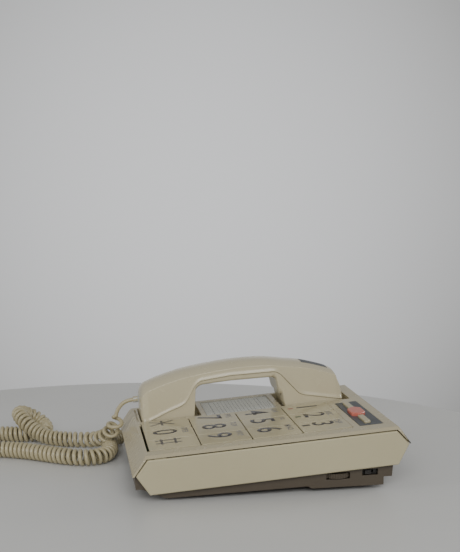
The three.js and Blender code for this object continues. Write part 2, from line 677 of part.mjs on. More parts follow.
// A plug pointing along +y from its shoulder at y = 0, with its boot behind it.
function plugShape() {
  const w = PLUG_WIDTH / 2;
  const h = PLUG_HEIGHT / 2;
  const body = box(-w, w, 0, PLUG_LENGTH, -h, h);
  const latch = box(-1.6, 1.6, 1.5, PLUG_LENGTH - 2, h - 0.4, h + 0.25);
  const relief = prismY(roundedRectangle(-2.9, 2.9, -2.4, 2.4, 1.2), -PLUG_BOOT, 0.4);
  return joined(body, latch, relief);
}

function capsule(y, z, radius, height) {
  const top = z + height;
  return turned([
    [0, z], [radius - 1, z], [radius, z + 1], [radius, top - 1.5], [radius - 2, top], [0, top],
  ], handsetX, y, 24);
}

// ---- switches and inner pieces ----
function hookPlunger() {
  const { width, depth, y, shoulder } = plunger;
  const [w, front, rear] = [width / 2, y - depth / 2, y + depth / 2];
  const [low, ledge] = [-WELL_DEPTH - 11, -WELL_DEPTH - 8.5];
  const shaft = box(handsetX - w, handsetX + w, front, rear, low + 1, -WELL_DEPTH + 0.1);
  return shaft.add(box(handsetX - w - shoulder, handsetX + w + shoulder, front, rear, low, ledge));
}

function volumeWheel() {
  const x = baseHalf + WHEEL_PROUD - WHEEL_RADIUS;
  const [z0, z1] = [WHEEL_Z - WHEEL_THICKNESS / 2, WHEEL_Z + WHEEL_THICKNESS / 2];
  const [r, edge] = [WHEEL_RADIUS, 0.5];
  const profile = [[0, z0], [r - edge, z0], [r, z0 + edge], [r, z1 - edge], [r - edge, z1], [0, z1]];
  return turned(profile, x, wheelY, 48).subtract(cylinder(WHEEL_BORE, x, wheelY, z0 - 1, z1 + 1, 12));
}

function volumeControl() {
  const x = baseHalf + WHEEL_PROUD - WHEEL_RADIUS;
  const top = WHEEL_Z - WHEEL_THICKNESS / 2 - GAP;
  const stem = cylinder(WHEEL_BORE - 0.1, x, wheelY, top - 0.5, WHEEL_Z + WHEEL_THICKNESS / 2, 12);
  return box(x - 7, x + 7, wheelY - 7, wheelY + 7, top - 4.2, top).add(stem);
}

function ringerSlider() {
  const y = switchY - SWITCH_THROW / 2;
  const knob = box(baseHalf - 3.4, baseHalf - 0.4, y - 3, y + 3, SWITCH_Z - 1.9, SWITCH_Z + 1.9);
  const stem = box(baseHalf - 6.5, baseHalf - 3, y - 1.4, y + 1.4, SWITCH_Z - 1.2, SWITCH_Z + 1.2);
  return knob.add(stem);
}

function ringerSwitchBody() {
  const x1 = baseHalf - 3.4 - GAP;
  const body = box(x1 - 8, x1, switchY - 7.8, switchY + 7.8, SWITCH_Z - 4, SWITCH_Z + 4);
  const reach = SWITCH_THROW / 2 + 1.8;
  const slot = box(x1 - 3.2, x1 + 1, switchY - reach, switchY + reach, SWITCH_Z - 1.6, SWITCH_Z + 1.6);
  return body.subtract(slot);
}

// A jack body behind a wall at x = 0, opening towards -x.
function jackBody() {
  const { half: w, height: h } = jackOpening;
  const shell = box(0, 14, -w - 1.6, w + 1.6, -h - 1.2, h + 1.6);
  return shell.subtract(box(-1, 12, -w, w, -h, h));
}

function ringer() {
  return turned([
    [0, 9.5], [17, 9.5], [18, 10.5], [18, 15], [12, 17], [12, 21], [0, 21],
  ], RINGER_X, ringerY, 28);
}

// ---- cord ----
// Its route is drawn from the handset's plug, along the table, to the plug in the base's left side.
const handsetEnd = new THREE.Vector3(handsetX, 1.3 - PLUG_BOOT, HANDSET_PLUG_Z)
  .applyAxisAngle(new THREE.Vector3(1, 0, 0), tilt)
  .add(deck.position);
const baseEnd = new THREE.Vector3(-baseHalf - 1.8 - PLUG_BOOT, jackY - rearOffset, JACK_Z);
const LEAD = [
  [0, 0, 0], [0, -3.8, -0.7], [0, -8, -2.2], [0, -11.8, -5], [0, -14.8, -8.8], [-0.1, -16.5, -12.4],
  [-0.2, -17, -14.4],
];
const COIL_DROP = [
  [-0.2, -17, -14.8], [-0.8, -18, -22.8], [-3.7, -20.6, -30.3], [-10.2, -24.6, -37.3],
];
const COIL_LOOP = [
  [-74, -146.4, 17.2],
  [-86, -152.6, 12.2], [-94.6, -161, 9.4], [-99.4, -172, 8.7], [-104.2, -188, 8.7], [-110.5, -203, 9.6],
  [-118.4, -216, 14], [-128.5, -227.4, 22], [-143, -234.4, 27.6], [-156.4, -229.6, 25], [-160, -216.4, 17.6],
  [-151, -207.4, 11], [-137.5, -207.8, 8.7], [-129.6, -219, 8.7], [-130.6, -236, 8.7], [-135.4, -254, 8.7],
  [-134, -271, 8.7], [-122.5, -283.5, 8.7], [-104.5, -287, 8.7], [-88.6, -279.6, 8.7], [-80.4, -264.5, 8.7],
  [-75.4, -245, 8.7], [-67, -226, 8.7], [-56.4, -208.6, 8.7], [-45.6, -192, 8.7], [-36.6, -175.6, 8.7],
  [-33.4, -160, 8.7], [-39.6, -147.4, 8.7], [-54, -140.8, 8.7], [-72, -140, 8.7], [-90, -138.6, 8.7],
  [-102.6, -129, 8.7], [-106, -114, 8.7],
];
const TAIL = [
  [-106, -113.6, 8.7], [-106.4, -109, 8.1], [-106.6, -101, 5], [-106.2, -90, 2.8], [-105, -74, 2.3],
  [-103.6, -54, 2.3], [-103.2, -32, 2.3], [-104.4, -10, 2.3], [-108, 10, 2.3], [-113, 26, 2.4],
  [-116.4, 38, 3.4], [-114.4, 48, 6.4], [-107.4, 53, 10], [-99, 53.4, 12.2],
];

// Points drawn about the origin, moved with the handset's plug.
function fromHandset(points) {
  return points.map(([x, y, z]) => [x + handsetEnd.x, y + handsetEnd.y, z + handsetEnd.z]);
}

// Points drawn on the table: moved sideways with the base's plug, and stretched to reach it from the front.
function onTable(points) {
  const drawn = { x: -90.8, front: -116.49, rear: 53.4 };
  const stretch = (baseEnd.y - handsetEnd.y) / (drawn.rear - drawn.front);
  return points.map(([x, y, z]) => {
    const behind = y - drawn.front;
    return [x + baseEnd.x - drawn.x, handsetEnd.y + behind * (behind > 0 ? stretch : 1), z];
  });
}

const leadRoute = fromHandset(LEAD);
const coilRoute = [...fromHandset(COIL_DROP), ...onTable(COIL_LOOP)];
const tailRoute = [...onTable(TAIL), baseEnd.toArray()];

// ---- assembly ----
add(level, 'base_pan', basePanLevel(), TAUPE);

function basePanLevel() {
  const toLevel = new THREE.Matrix4().makeTranslation(0, 0, DECK_HEIGHT);
  toLevel.multiply(new THREE.Matrix4().makeRotationX(tilt));
  return basePan().transform(toLevel.elements);
}

add(deck, 'top_housing', topHousing(), IVORY);
add(deck, 'right_side_panel', sidePanel(1), IVORY);
add(deck, 'left_side_panel', sidePanel(-1), IVORY);

const footNames = ['front_left_foot', 'front_right_foot', 'rear_left_foot', 'rear_right_foot'];
feet.forEach(([x, y], i) => add(level, footNames[i], foot(x, y), RUBBER));
const screwNames = ['front_left_screw', 'front_right_screw', 'rear_left_screw', 'rear_right_screw'];
screws.forEach((screw, i) => add(deck, screwNames[i], caseScrew(screw), STEEL));

const keyNames = [
  ['key_star', 'key_0', 'key_hash'],
  ['key_7', 'key_8', 'key_9'],
  ['key_4', 'key_5', 'key_6'],
  ['key_1', 'key_2', 'key_3'],
];
keyNames.forEach((names, row) => {
  names.forEach((name, column) => add(deck, name, key(row, column), KEY_IVORY));
});
add(deck, 'key_mat', keyMat(), RUBBER);
const boardLow = boardTop - BOARD_THICKNESS;
add(deck, 'keypad_board', box(keyFieldLeft + 1, boardRight, 1.5, boardRear, boardLow, boardTop), BOARD);
add(deck, 'main_board', box(-62, 62, deckRear - 111, deckRear - 61, -31.6, -30), BOARD);

add(deck, 'function_plate', functionPlate(), SLATE);
add(deck, 'left_function_key', functionKey(-1), KEY_IVORY);
add(deck, 'right_function_key', functionKey(1), KEY_IVORY);
add(deck, 'red_key', redKey(), RED);

// A sheet lying in the directory's recess, in from its walls.
function directorySheet(inset, low, high) {
  const { left, right, front, rear } = directory;
  return box(left + inset, right - inset, front + inset, rear - inset, low, high);
}

const cardLow = -directory.depth + GAP;
const cardTop = cardLow + cardThickness;
add(deck, 'directory_card', directorySheet(1, cardLow, cardTop), CARD);
add(deck, 'directory_window', directorySheet(GAP, cardTop + GAP, -0.1), CLEAR);

add(deck, 'hook_plunger', hookPlunger(), DARK);
const hookTop = -WELL_DEPTH - 11.6;
const hookSwitch = box(handsetX - 9, handsetX + 9, plunger.y - 8, plunger.y + 8, hookTop - 8.4, hookTop);
add(deck, 'hook_switch', hookSwitch, DARK);
add(level, 'volume_wheel', volumeWheel(), TAUPE);
add(level, 'volume_control', volumeControl(), STEEL);
add(level, 'ringer_switch_slider', ringerSlider(), DARK);
add(level, 'ringer_switch_body', ringerSwitchBody(), DARK);
add(level, 'ringer', ringer(), DARK);
add(level, 'ballast_plate', box(-48, 48, 36, 124, 10, 13), STEEL);

const handsetJack = add(level, 'handset_jack', jackBody(), DARK);
handsetJack.position.set(-baseHalf + BASE_WALL + GAP, jackY, JACK_Z);
const lineJack = add(level, 'line_jack', jackBody(), DARK);
lineJack.position.set(LINE_JACK_X, baseShelf - BASE_WALL - GAP - 0.6, LINE_JACK_Z);
lineJack.rotation.z = -Math.PI / 2;

add(deck, 'handset_back', handsetBack(), IVORY);
add(deck, 'handset_face', handsetFace(), IVORY);
add(deck, 'handset_label', handsetLabel(), SLATE);
add(deck, 'receiver_capsule', capsule(181, -4.6, receiverRadius, 8), DARK);
add(deck, 'microphone_capsule', capsule(28, -4.6, microphoneRadius, 6), DARK);
const handsetPlug = add(deck, 'handset_plug', plugShape(), CLEAR);
handsetPlug.position.set(handsetX, 1.6, HANDSET_PLUG_Z);
const basePlug = add(level, 'base_plug', plugShape(), CLEAR);
basePlug.position.set(-baseHalf - 1.5, jackY, JACK_Z);
basePlug.rotation.z = -Math.PI / 2;

add(telephone, 'cord_lead', tube(leadRoute, WIRE_RADIUS, 8, 8), CORD);
add(telephone, 'cord_coil', tube(coilRoute, COIL_RADIUS, 10, 72), CORD);
add(telephone, 'cord_tail', tube(tailRoute, WIRE_RADIUS, 8, 30), CORD);

export default telephone;
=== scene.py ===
# A wedge-shaped desk telephone with large push keys, its handset on the cradle, and a curly cord.
# Metres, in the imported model's frame: +X to the user's right, +Y to the rear, +Z up.
import json
import math

import bmesh
import bpy
from mathutils import Matrix, Vector

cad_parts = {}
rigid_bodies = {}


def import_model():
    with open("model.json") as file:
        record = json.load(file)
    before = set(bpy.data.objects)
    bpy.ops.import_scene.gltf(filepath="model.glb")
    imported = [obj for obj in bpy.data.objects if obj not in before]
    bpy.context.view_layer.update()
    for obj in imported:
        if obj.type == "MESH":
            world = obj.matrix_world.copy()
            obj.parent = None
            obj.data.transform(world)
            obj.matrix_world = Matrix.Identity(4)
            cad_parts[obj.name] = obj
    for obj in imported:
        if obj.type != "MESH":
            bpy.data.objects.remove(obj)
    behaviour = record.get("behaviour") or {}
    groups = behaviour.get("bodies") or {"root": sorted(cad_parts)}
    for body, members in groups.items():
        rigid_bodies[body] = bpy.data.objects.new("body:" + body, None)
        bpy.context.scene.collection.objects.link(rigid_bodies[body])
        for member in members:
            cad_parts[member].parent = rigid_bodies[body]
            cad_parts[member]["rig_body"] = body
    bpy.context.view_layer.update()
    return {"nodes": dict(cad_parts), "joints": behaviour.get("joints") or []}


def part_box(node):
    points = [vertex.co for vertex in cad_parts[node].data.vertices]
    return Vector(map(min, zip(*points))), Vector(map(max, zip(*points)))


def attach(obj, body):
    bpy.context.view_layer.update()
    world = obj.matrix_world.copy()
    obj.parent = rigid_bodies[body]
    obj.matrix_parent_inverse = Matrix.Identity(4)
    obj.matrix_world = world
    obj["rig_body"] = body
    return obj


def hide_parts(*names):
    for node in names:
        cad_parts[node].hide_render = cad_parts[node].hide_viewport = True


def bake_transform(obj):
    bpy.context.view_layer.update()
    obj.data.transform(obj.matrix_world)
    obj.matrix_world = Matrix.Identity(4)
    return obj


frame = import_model()

# ---- camera ----
# A short telephoto lens on the keypad's side of the telephone, about a metre away. It stands a little
# above the handset and looks slightly down along the deck.
camera = bpy.data.objects.new("camera", bpy.data.cameras.new("camera"))
camera.data.lens = 62.6
camera.data.sensor_width = 36
camera.data.clip_end = 30
camera.location = (0.9078, -0.1834, 0.2966)
camera.rotation_euler = Vector((-0.97888, 0.17037, -0.11303)).to_track_quat("-Z", "Y").to_euler()
bpy.context.scene.collection.objects.link(camera)
bpy.context.scene.camera = camera

# ---- handset cord ----
# One flat-wound curly cord of 4 mm flexible PVC over tinsel wire, heat-set on a rod so that its turns
# close up again. A straight lead leaves the handset's plug, and a straight tail runs to the side jack.
mm = 0.001
WIRE = 4 * mm
TURN_RADIUS = 6.5 * mm
RELAXED_PITCH = 5.25 * mm
STRETCHED_PITCH = 10.5 * mm         # where the coil hangs from the handset
HANGING = (46 * mm, 96 * mm)        # along the coil, where the stretched turns close up
CLOSING_STRETCH = 3.4               # how much wider the last turns are, so that none winds tight
STEPS_PER_TURN = 18
STEPS_PER_SPAN = 60
# The cord's line in millimetres, from the handset's plug to the base's.
LEAD = [
    (-53.8, -116.5, 60.7), (-53.8, -120.4, 60.1), (-53.8, -124.6, 58.6), (-53.8, -128.4, 55.8),
    (-53.8, -131.4, 52), (-53.9, -133.1, 48.4),
]
COIL = [
    (-54, -133.6, 46), (-54.6, -134.6, 38), (-57.5, -137.2, 30.5), (-64, -141.2, 23.5), (-74, -146.4, 17.2),
    (-86, -152.6, 12.2), (-94.6, -161, 9.4), (-99.4, -172, 8.7), (-104.2, -188, 8.7), (-110.5, -203, 9.6),
    (-118.4, -216, 14), (-128.5, -227.4, 22), (-143, -234.4, 27.6), (-156.4, -229.6, 25), (-160, -216.4, 17.6),
    (-151, -207.4, 11), (-137.5, -207.8, 8.7), (-129.6, -219, 8.7), (-130.6, -236, 8.7), (-135.4, -254, 8.7),
    (-134, -271, 8.7), (-122.5, -283.5, 8.7), (-104.5, -287, 8.7), (-88.6, -279.6, 8.7), (-80.4, -264.5, 8.7),
    (-75.4, -245, 8.7), (-67, -226, 8.7), (-56.4, -208.6, 8.7), (-45.6, -192, 8.7), (-36.6, -175.6, 8.7),
    (-33.4, -160, 8.7), (-39.6, -147.4, 8.7), (-54, -140.8, 8.7), (-72, -140, 8.7), (-90, -138.6, 8.7),
    (-102.6, -129, 8.7), (-106, -114, 8.7),
]
TAIL = [
    (-106.4, -109, 8.1), (-106.6, -101, 5), (-106.2, -90, 2.8), (-105, -74, 2.3), (-103.6, -54, 2.3),
    (-103.2, -32, 2.3), (-104.4, -10, 2.3), (-108, 10, 2.3), (-113, 26, 2.4), (-116.4, 38, 3.4), (-114.4, 48, 6.4),
    (-107.4, 53, 10), (-99, 53.4, 12.2), (-90.85, 53.4, 12.6),
]


def rgb(hex_value):
    """An sRGB hex colour, such as 0xc8c0a4, as linear red, green, blue and alpha."""
    channels = [(hex_value >> shift & 255) / 255 for shift in (16, 8, 0)]
    return (*[c / 12.92 if c <= 0.04045 else ((c + 0.055) / 1.055) ** 2.4 for c in channels], 1)


def add_node(tree, kind, inputs=None, **settings):
    """Adds a node, sets its properties, and gives each of its inputs a value or a link."""
    made = tree.nodes.new(kind)
    for name, value in settings.items():
        setattr(made, name, value)
    for name, value in (inputs or {}).items():
        if isinstance(value, bpy.types.NodeSocket):
            tree.links.new(value, made.inputs[name])
        else:
            made.inputs[name].default_value = value
    return made


def new_material(name, **constants):
    """A material with only its Principled shader, and the settings that are the same all over it."""
    material = bpy.data.materials.new(name)
    material.use_nodes = True
    shader = material.node_tree.nodes["Principled BSDF"]
    for socket, value in constants.items():
        shader.inputs[socket.replace("_", " ")].default_value = value
    return material, material.node_tree, shader


def mesh_object(name, shape, *materials, smooth_degrees=None):
    """Turns a finished bmesh into an object at the origin. Its curved faces are shaded smooth, its flat ones flat."""
    mesh = bpy.data.meshes.new(name)
    shape.to_mesh(mesh)
    shape.free()
    for material in materials:
        mesh.materials.append(material)
    made = bpy.data.objects.new(name, mesh)
    bpy.context.scene.collection.objects.link(made)
    if smooth_degrees:
        mesh.shade_smooth()
        mesh.set_sharp_from_angle(angle=math.radians(smooth_degrees))
        made.modifiers.new("flat faces stay flat", "WEIGHTED_NORMAL").keep_sharp = True
    return made


def smooth_route(points, per_span):
    """Points along a smooth curve through the given ones, each with the number of the span it is in."""
    ends = [2 * points[0] - points[1], *points, 2 * points[-1] - points[-2]]
    route = []
    for span in range(len(points) - 1):
        a, b, c, d = ends[span:span + 4]
        for step in range(per_span):
            t = step / per_span
            bend = 2 * b + t * (c - a) + t * t * (2 * a - 5 * b + 4 * c - d) + t ** 3 * (3 * b - a - 3 * c + d)
            route.append((bend / 2, span + t))
    route.append((points[-1], len(points) - 1))
    return route


def ease(value, low, high):
    """0 below the low value and 1 above the high one, with a smooth change between them."""
    t = min(1, max(0, (value - low) / (high - low)))
    return t * t * (3 - 2 * t)


def curly_path():
    """The wire's own centreline: straight, then turning round the coil's line, then straight again."""
    middle = smooth_route([mm * Vector(p) for p in LEAD + COIL + TAIL], STEPS_PER_SPAN)
    coil_first, coil_last = len(LEAD), len(LEAD) + len(COIL) - 1
    side = Vector((1, 0, 0))
    angle = coil_run = since = 0
    path = [middle[0][0]]
    for (here, span), (ahead, _) in zip(middle, middle[1:]):
        forward = (ahead - here).normalized()
        side = (side - side.dot(forward) * forward).normalized()
        step = (ahead - here).length
        coiled = coil_first <= span <= coil_last
        coil_run += step if coiled else 0
        pitch = STRETCHED_PITCH + (RELAXED_PITCH - STRETCHED_PITCH) * ease(coil_run, *HANGING)
        # No turn of a used cord lies quite as the next one does.
        pitch *= 1 + 0.05 * math.sin(coil_run / (23 * mm)) + 0.03 * math.sin(coil_run / (7.1 * mm))
        pitch *= 1 + CLOSING_STRETCH * ease(span, coil_last - 1, coil_last)
        angle += 2 * math.pi * step / pitch if coiled else 0
        opened = ease(span, coil_first, coil_first + 1) * (1 - ease(span, coil_last - 0.5, coil_last + 0.6))
        since += step * math.hypot(1, 2 * math.pi * TURN_RADIUS / pitch if coiled else 0)
        if since < 2 * math.pi * TURN_RADIUS / STEPS_PER_TURN:
            continue
        since = 0
        across = side * math.cos(angle) + forward.cross(side) * math.sin(angle)
        path.append(ahead + across * TURN_RADIUS * opened)
    path[-1] = middle[-1][0]
    return path


def extruded_pvc():
    """Plasticised PVC, extruded over the wires: glossy and even, a little greyer where it has been handled."""
    material, tree, shader = new_material("plasticised_pvc_cord", IOR=1.53)
    place = add_node(tree, "ShaderNodeTexCoord").outputs["Object"]
    grime = add_node(tree, "ShaderNodeTexNoise", {"Vector": place, "Scale": 1 / (22 * mm), "Detail": 3.0})
    tone = add_node(tree, "ShaderNodeMix", {"Factor": grime.outputs["Fac"], 6: rgb(0xb3a988), 7: rgb(0x9f9576)},
                    data_type="RGBA")
    gloss = add_node(tree, "ShaderNodeMapRange", {"Value": grime.outputs["Fac"], "To Min": 0.24, "To Max": 0.4})
    ripple = add_node(tree, "ShaderNodeTexNoise", {"Vector": place, "Scale": 1 / (1.4 * mm), "Detail": 1.0})
    bump = add_node(tree, "ShaderNodeBump", {"Height": ripple.outputs["Fac"], "Distance": 0.03 * mm})
    tree.links.new(tone.outputs[2], shader.inputs["Base Color"])
    tree.links.new(gloss.outputs["Result"], shader.inputs["Roughness"])
    tree.links.new(bump.outputs["Normal"], shader.inputs["Normal"])
    return material


def wire_along(name, path, radius, material, sides=10):
    """A round wire swept along a list of points, with its ends closed."""
    line = bpy.data.curves.new(name, "CURVE")
    line.dimensions = "3D"
    spline = line.splines.new("POLY")
    spline.points.add(len(path) - 1)
    for point, place in zip(spline.points, path):
        point.co = (*place, 1)
    line.bevel_depth = radius
    line.bevel_resolution = (sides - 4) // 2
    line.use_fill_caps = True
    swept = bpy.data.objects.new(name + "_line", line)
    bpy.context.scene.collection.objects.link(swept)
    mesh = bpy.data.meshes.new_from_object(swept.evaluated_get(bpy.context.evaluated_depsgraph_get()))
    bpy.data.objects.remove(swept)
    shape = bmesh.new()
    shape.from_mesh(mesh)
    bmesh.ops.remove_doubles(shape, verts=shape.verts, dist=0.001 * mm)
    bmesh.ops.recalc_face_normals(shape, faces=shape.faces)
    return mesh_object(name, shape, material, smooth_degrees=60)


cord_path = curly_path()
cord_pvc = extruded_pvc()
handset_cord = wire_along("handset_cord", cord_path, WIRE / 2, cord_pvc)
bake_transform(handset_cord)
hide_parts("cord_lead", "cord_coil", "cord_tail")

# ---- base pan ----
# The taupe lower moulding, ABS with a satin texture, that carries the boards, ballast and jacks.
# Its underside steps down at the rear, and four screws through it hold the upper shell on.


def moulded_abs(name, tone, aged_tone, roughness, grain=1.1 * mm, relief=0.012 * mm, dust_share=0.1):
    """Injection-moulded ABS: a fine texture from the mould, uneven gloss from handling, and slow yellowing."""
    material, tree, shader = new_material(name, IOR=1.54)
    place = add_node(tree, "ShaderNodeTexCoord").outputs["Object"]
    ageing = add_node(tree, "ShaderNodeTexNoise", {"Vector": place, "Scale": 1 / (70 * mm), "Detail": 4.0})
    tone_mix = add_node(tree, "ShaderNodeMix", {"Factor": ageing.outputs["Fac"], 6: rgb(tone), 7: rgb(aged_tone)},
                        data_type="RGBA")
    # Dust in the texture, drawn at 1.6 mm so that it shows.
    dust = add_node(tree, "ShaderNodeTexNoise", {"Vector": place, "Scale": 1 / (1.6 * mm), "Detail": 2.0})
    speck = add_node(tree, "ShaderNodeMapRange", {"Value": dust.outputs["Fac"], "From Min": 0.62, "From Max": 0.8,
                                                  "To Max": dust_share})
    dusty = add_node(tree, "ShaderNodeMix", {"Factor": speck.outputs["Result"], 6: tone_mix.outputs[2],
                                             7: rgb(0x6f6857)}, data_type="RGBA")
    handled = add_node(tree, "ShaderNodeTexNoise", {"Vector": place, "Scale": 1 / (16 * mm), "Detail": 3.0})
    gloss = add_node(tree, "ShaderNodeMapRange", {"Value": handled.outputs["Fac"], "From Min": 0.3, "From Max": 0.7,
                                                  "To Min": roughness - 0.05, "To Max": roughness + 0.07})
    # The mould's spark-eroded grain, real 0.2 mm, drawn coarser.
    texture = add_node(tree, "ShaderNodeTexNoise", {"Vector": place, "Scale": 1 / grain, "Detail": 2.0})
    bump = add_node(tree, "ShaderNodeBump", {"Height": texture.outputs["Fac"], "Distance": relief})
    tree.links.new(dusty.outputs[2], shader.inputs["Base Color"])
    tree.links.new(gloss.outputs["Result"], shader.inputs["Roughness"])
    tree.links.new(bump.outputs["Normal"], shader.inputs["Normal"])
    return material


def edge_rounded(node, name, material, radius, segments=2, sharper_than=28):
    """A copy of a CAD solid: its loose triangles joined, its flat faces made whole, and its edges rounded."""
    shape = bmesh.new()
    shape.from_mesh(frame["nodes"][node].data)
    bmesh.ops.remove_doubles(shape, verts=shape.verts, dist=0.002 * mm)
    bmesh.ops.dissolve_limit(shape, angle_limit=math.radians(0.6), verts=shape.verts, edges=shape.edges)
    sharp = [edge for edge in shape.edges if edge.calc_face_angle(0) > math.radians(sharper_than)]
    bmesh.ops.bevel(shape, geom=sharp, offset=radius, offset_type="OFFSET", segments=segments, profile=0.5,
                    affect="EDGES", clamp_overlap=False, material=-1)
    made = mesh_object(name, shape, material, smooth_degrees=40)
    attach(made, frame["nodes"][node]["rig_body"])
    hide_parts(node)
    return made


taupe_abs = moulded_abs("satin_moulded_abs_taupe", 0x50473a, 0x483f33, 0.5)
base_moulding = edge_rounded("base_pan", "base_moulding", taupe_abs, 0.5 * mm)

# ---- feet ----
# Four round feet that keep the telephone from sliding, compression-moulded in nitrile rubber.
# Each is pulled through a hole in the base by its barbed stem.


def moulded_rubber():
    """Nitrile rubber: matt, nearly black, scuffed grey where it has slid on tables."""
    material, tree, shader = new_material("nitrile_rubber", IOR=1.52)
    place = add_node(tree, "ShaderNodeTexCoord").outputs["Object"]
    scuff = add_node(tree, "ShaderNodeTexNoise", {"Vector": place, "Scale": 1 / (2.5 * mm), "Detail": 4.0})
    tone = add_node(tree, "ShaderNodeMix", {"Factor": scuff.outputs["Fac"], 6: rgb(0x23211f), 7: rgb(0x3a3835)},
                    data_type="RGBA")
    rough = add_node(tree, "ShaderNodeMapRange", {"Value": scuff.outputs["Fac"], "To Min": 0.7, "To Max": 0.95})
    tree.links.new(tone.outputs[2], shader.inputs["Base Color"])
    tree.links.new(rough.outputs["Result"], shader.inputs["Roughness"])
    return material


rubber = moulded_rubber()
for place in ("front_left", "front_right", "rear_left", "rear_right"):
    pad = edge_rounded(place + "_foot", place + "_foot_pad", rubber, 0.3 * mm)

# ---- fasteners and ballast ----
# Four thread-forming screws through the base into the shell's posts, and a plate that makes the light
# telephone heavier. All are mild steel, zinc plated; the plate is pegged to the base's floor.


def plated_steel():
    """Zinc-plated steel: bright grey metal, clouded where the plating has dulled."""
    material, tree, shader = new_material("zinc_plated_steel", Metallic=1.0)
    place = add_node(tree, "ShaderNodeTexCoord").outputs["Object"]
    cloud = add_node(tree, "ShaderNodeTexNoise", {"Vector": place, "Scale": 1 / (3 * mm), "Detail": 3.0})
    tone = add_node(tree, "ShaderNodeMix", {"Factor": cloud.outputs["Fac"], 6: rgb(0xa9abad), 7: rgb(0x8c8e90)},
                    data_type="RGBA")
    rough = add_node(tree, "ShaderNodeMapRange", {"Value": cloud.outputs["Fac"], "To Min": 0.25, "To Max": 0.5})
    tree.links.new(tone.outputs[2], shader.inputs["Base Color"])
    tree.links.new(rough.outputs["Result"], shader.inputs["Roughness"])
    return material


def dress(node, material):
    """Gives a CAD node that keeps its own shape a finished material."""
    frame["nodes"][node].data.materials.clear()
    frame["nodes"][node].data.materials.append(material)


steel = plated_steel()
for node in ("front_left_screw", "front_right_screw", "rear_left_screw", "rear_right_screw", "ballast_plate"):
    dress(node, steel)

# ---- boards and switches inside ----
# Two glass-epoxy circuit boards, the key mat of silicone domes, and the black thermoplastic bodies of the
# hook switch, volume control, ringer switch, ringer and jacks.


def solder_mask():
    """Glass epoxy under green solder mask: glossy, with the copper tracks showing as lighter lines."""
    material, tree, shader = new_material("solder_masked_glass_epoxy", IOR=1.52, Roughness=0.3)
    place = add_node(tree, "ShaderNodeTexCoord").outputs["Object"]
    tracks = add_node(tree, "ShaderNodeTexBrick", {"Vector": place, "Scale": 1 / (9 * mm), "Mortar Size": 0.05,
                                                   "Color1": rgb(0x2b6341), "Color2": rgb(0x2f6b46),
                                                   "Mortar": rgb(0x4f8a5a)})
    tree.links.new(tracks.outputs["Color"], shader.inputs["Base Color"])
    return material


green_board = solder_mask()
black_abs = moulded_abs("satin_moulded_abs_black", 0x1f1d1b, 0x282522, 0.38)
for node in ("keypad_board", "main_board"):
    dress(node, green_board)
dress("key_mat", rubber)
for node in ("hook_switch", "volume_control", "ringer_switch_body", "ringer", "receiver_capsule",
             "microphone_capsule"):
    dress(node, black_abs)

# ---- jacks and plugs ----
# Two modular jacks in black ABS, for the handset cord and the wall cord. The handset cord's two plugs are clear
# polycarbonate, crimped to its ends. The wall cord's jack is empty, so its four gilt contact wires show.
BOOT_RADIUS = 3.1 * mm
BOOT_STEPS = (0, 2.4 * mm, 5 * mm)
ALONG_DECK = Vector((0, 0.9976, 0.0698))         # rearwards, on the deck's slope of 4 degrees
CONTACT_PITCH = 1.02 * mm
CONTACT_RADIUS = 0.25 * mm
CONTACT_SLOPE = 0.35


def gilt_wire():
    """Gold flash over phosphor bronze: a warm bright metal."""
    material, tree, shader = new_material("gold_flashed_bronze", Metallic=1.0)
    place = add_node(tree, "ShaderNodeTexCoord").outputs["Object"]
    wear = add_node(tree, "ShaderNodeTexNoise", {"Vector": place, "Scale": 1 / (1.5 * mm), "Detail": 2.0})
    tone = add_node(tree, "ShaderNodeMix", {"Factor": wear.outputs["Fac"], 6: rgb(0xe0b860), 7: rgb(0xb98f4a)},
                    data_type="RGBA")
    rough = add_node(tree, "ShaderNodeMapRange", {"Value": wear.outputs["Fac"], "To Min": 0.15, "To Max": 0.35})
    tree.links.new(tone.outputs[2], shader.inputs["Base Color"])
    tree.links.new(rough.outputs["Result"], shader.inputs["Roughness"])
    return material


def clear_polycarbonate(name, cover):
    """Polycarbonate: water-clear and glossy, with hairline scratches that cloud its gloss."""
    material, tree, shader = new_material(name, IOR=1.58, Alpha=cover)
    place = add_node(tree, "ShaderNodeTexCoord").outputs["Object"]
    hair = add_node(tree, "ShaderNodeTexNoise", {"Vector": place, "Scale": 1 / (4 * mm), "Detail": 5.0})
    tone = add_node(tree, "ShaderNodeMix", {"Factor": hair.outputs["Fac"], 6: rgb(0xdde1de), 7: rgb(0xc9cdc8)},
                    data_type="RGBA")
    rough = add_node(tree, "ShaderNodeMapRange", {"Value": hair.outputs["Fac"], "To Min": 0.04, "To Max": 0.16})
    tree.links.new(tone.outputs[2], shader.inputs["Base Color"])
    tree.links.new(rough.outputs["Result"], shader.inputs["Roughness"])
    return material


gold = gilt_wire()
plug_plastic = clear_polycarbonate("clear_polycarbonate_plug", 0.55)
for node in ("handset_jack", "line_jack"):
    housing = edge_rounded(node, node + "_housing", black_abs, 0.25 * mm)
for node in ("handset_plug", "base_plug"):
    dress(node, plug_plastic)
for name, end, inward, body in (("handset_plug_boot", LEAD[0], ALONG_DECK, "handset"),
                                ("base_plug_boot", TAIL[-1], Vector((1, 0, 0)), "base")):
    line = [mm * Vector(end) + inward * step for step in BOOT_STEPS]
    boot = wire_along(name, line, BOOT_RADIUS, cord_pvc, sides=16)
    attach(boot, body)

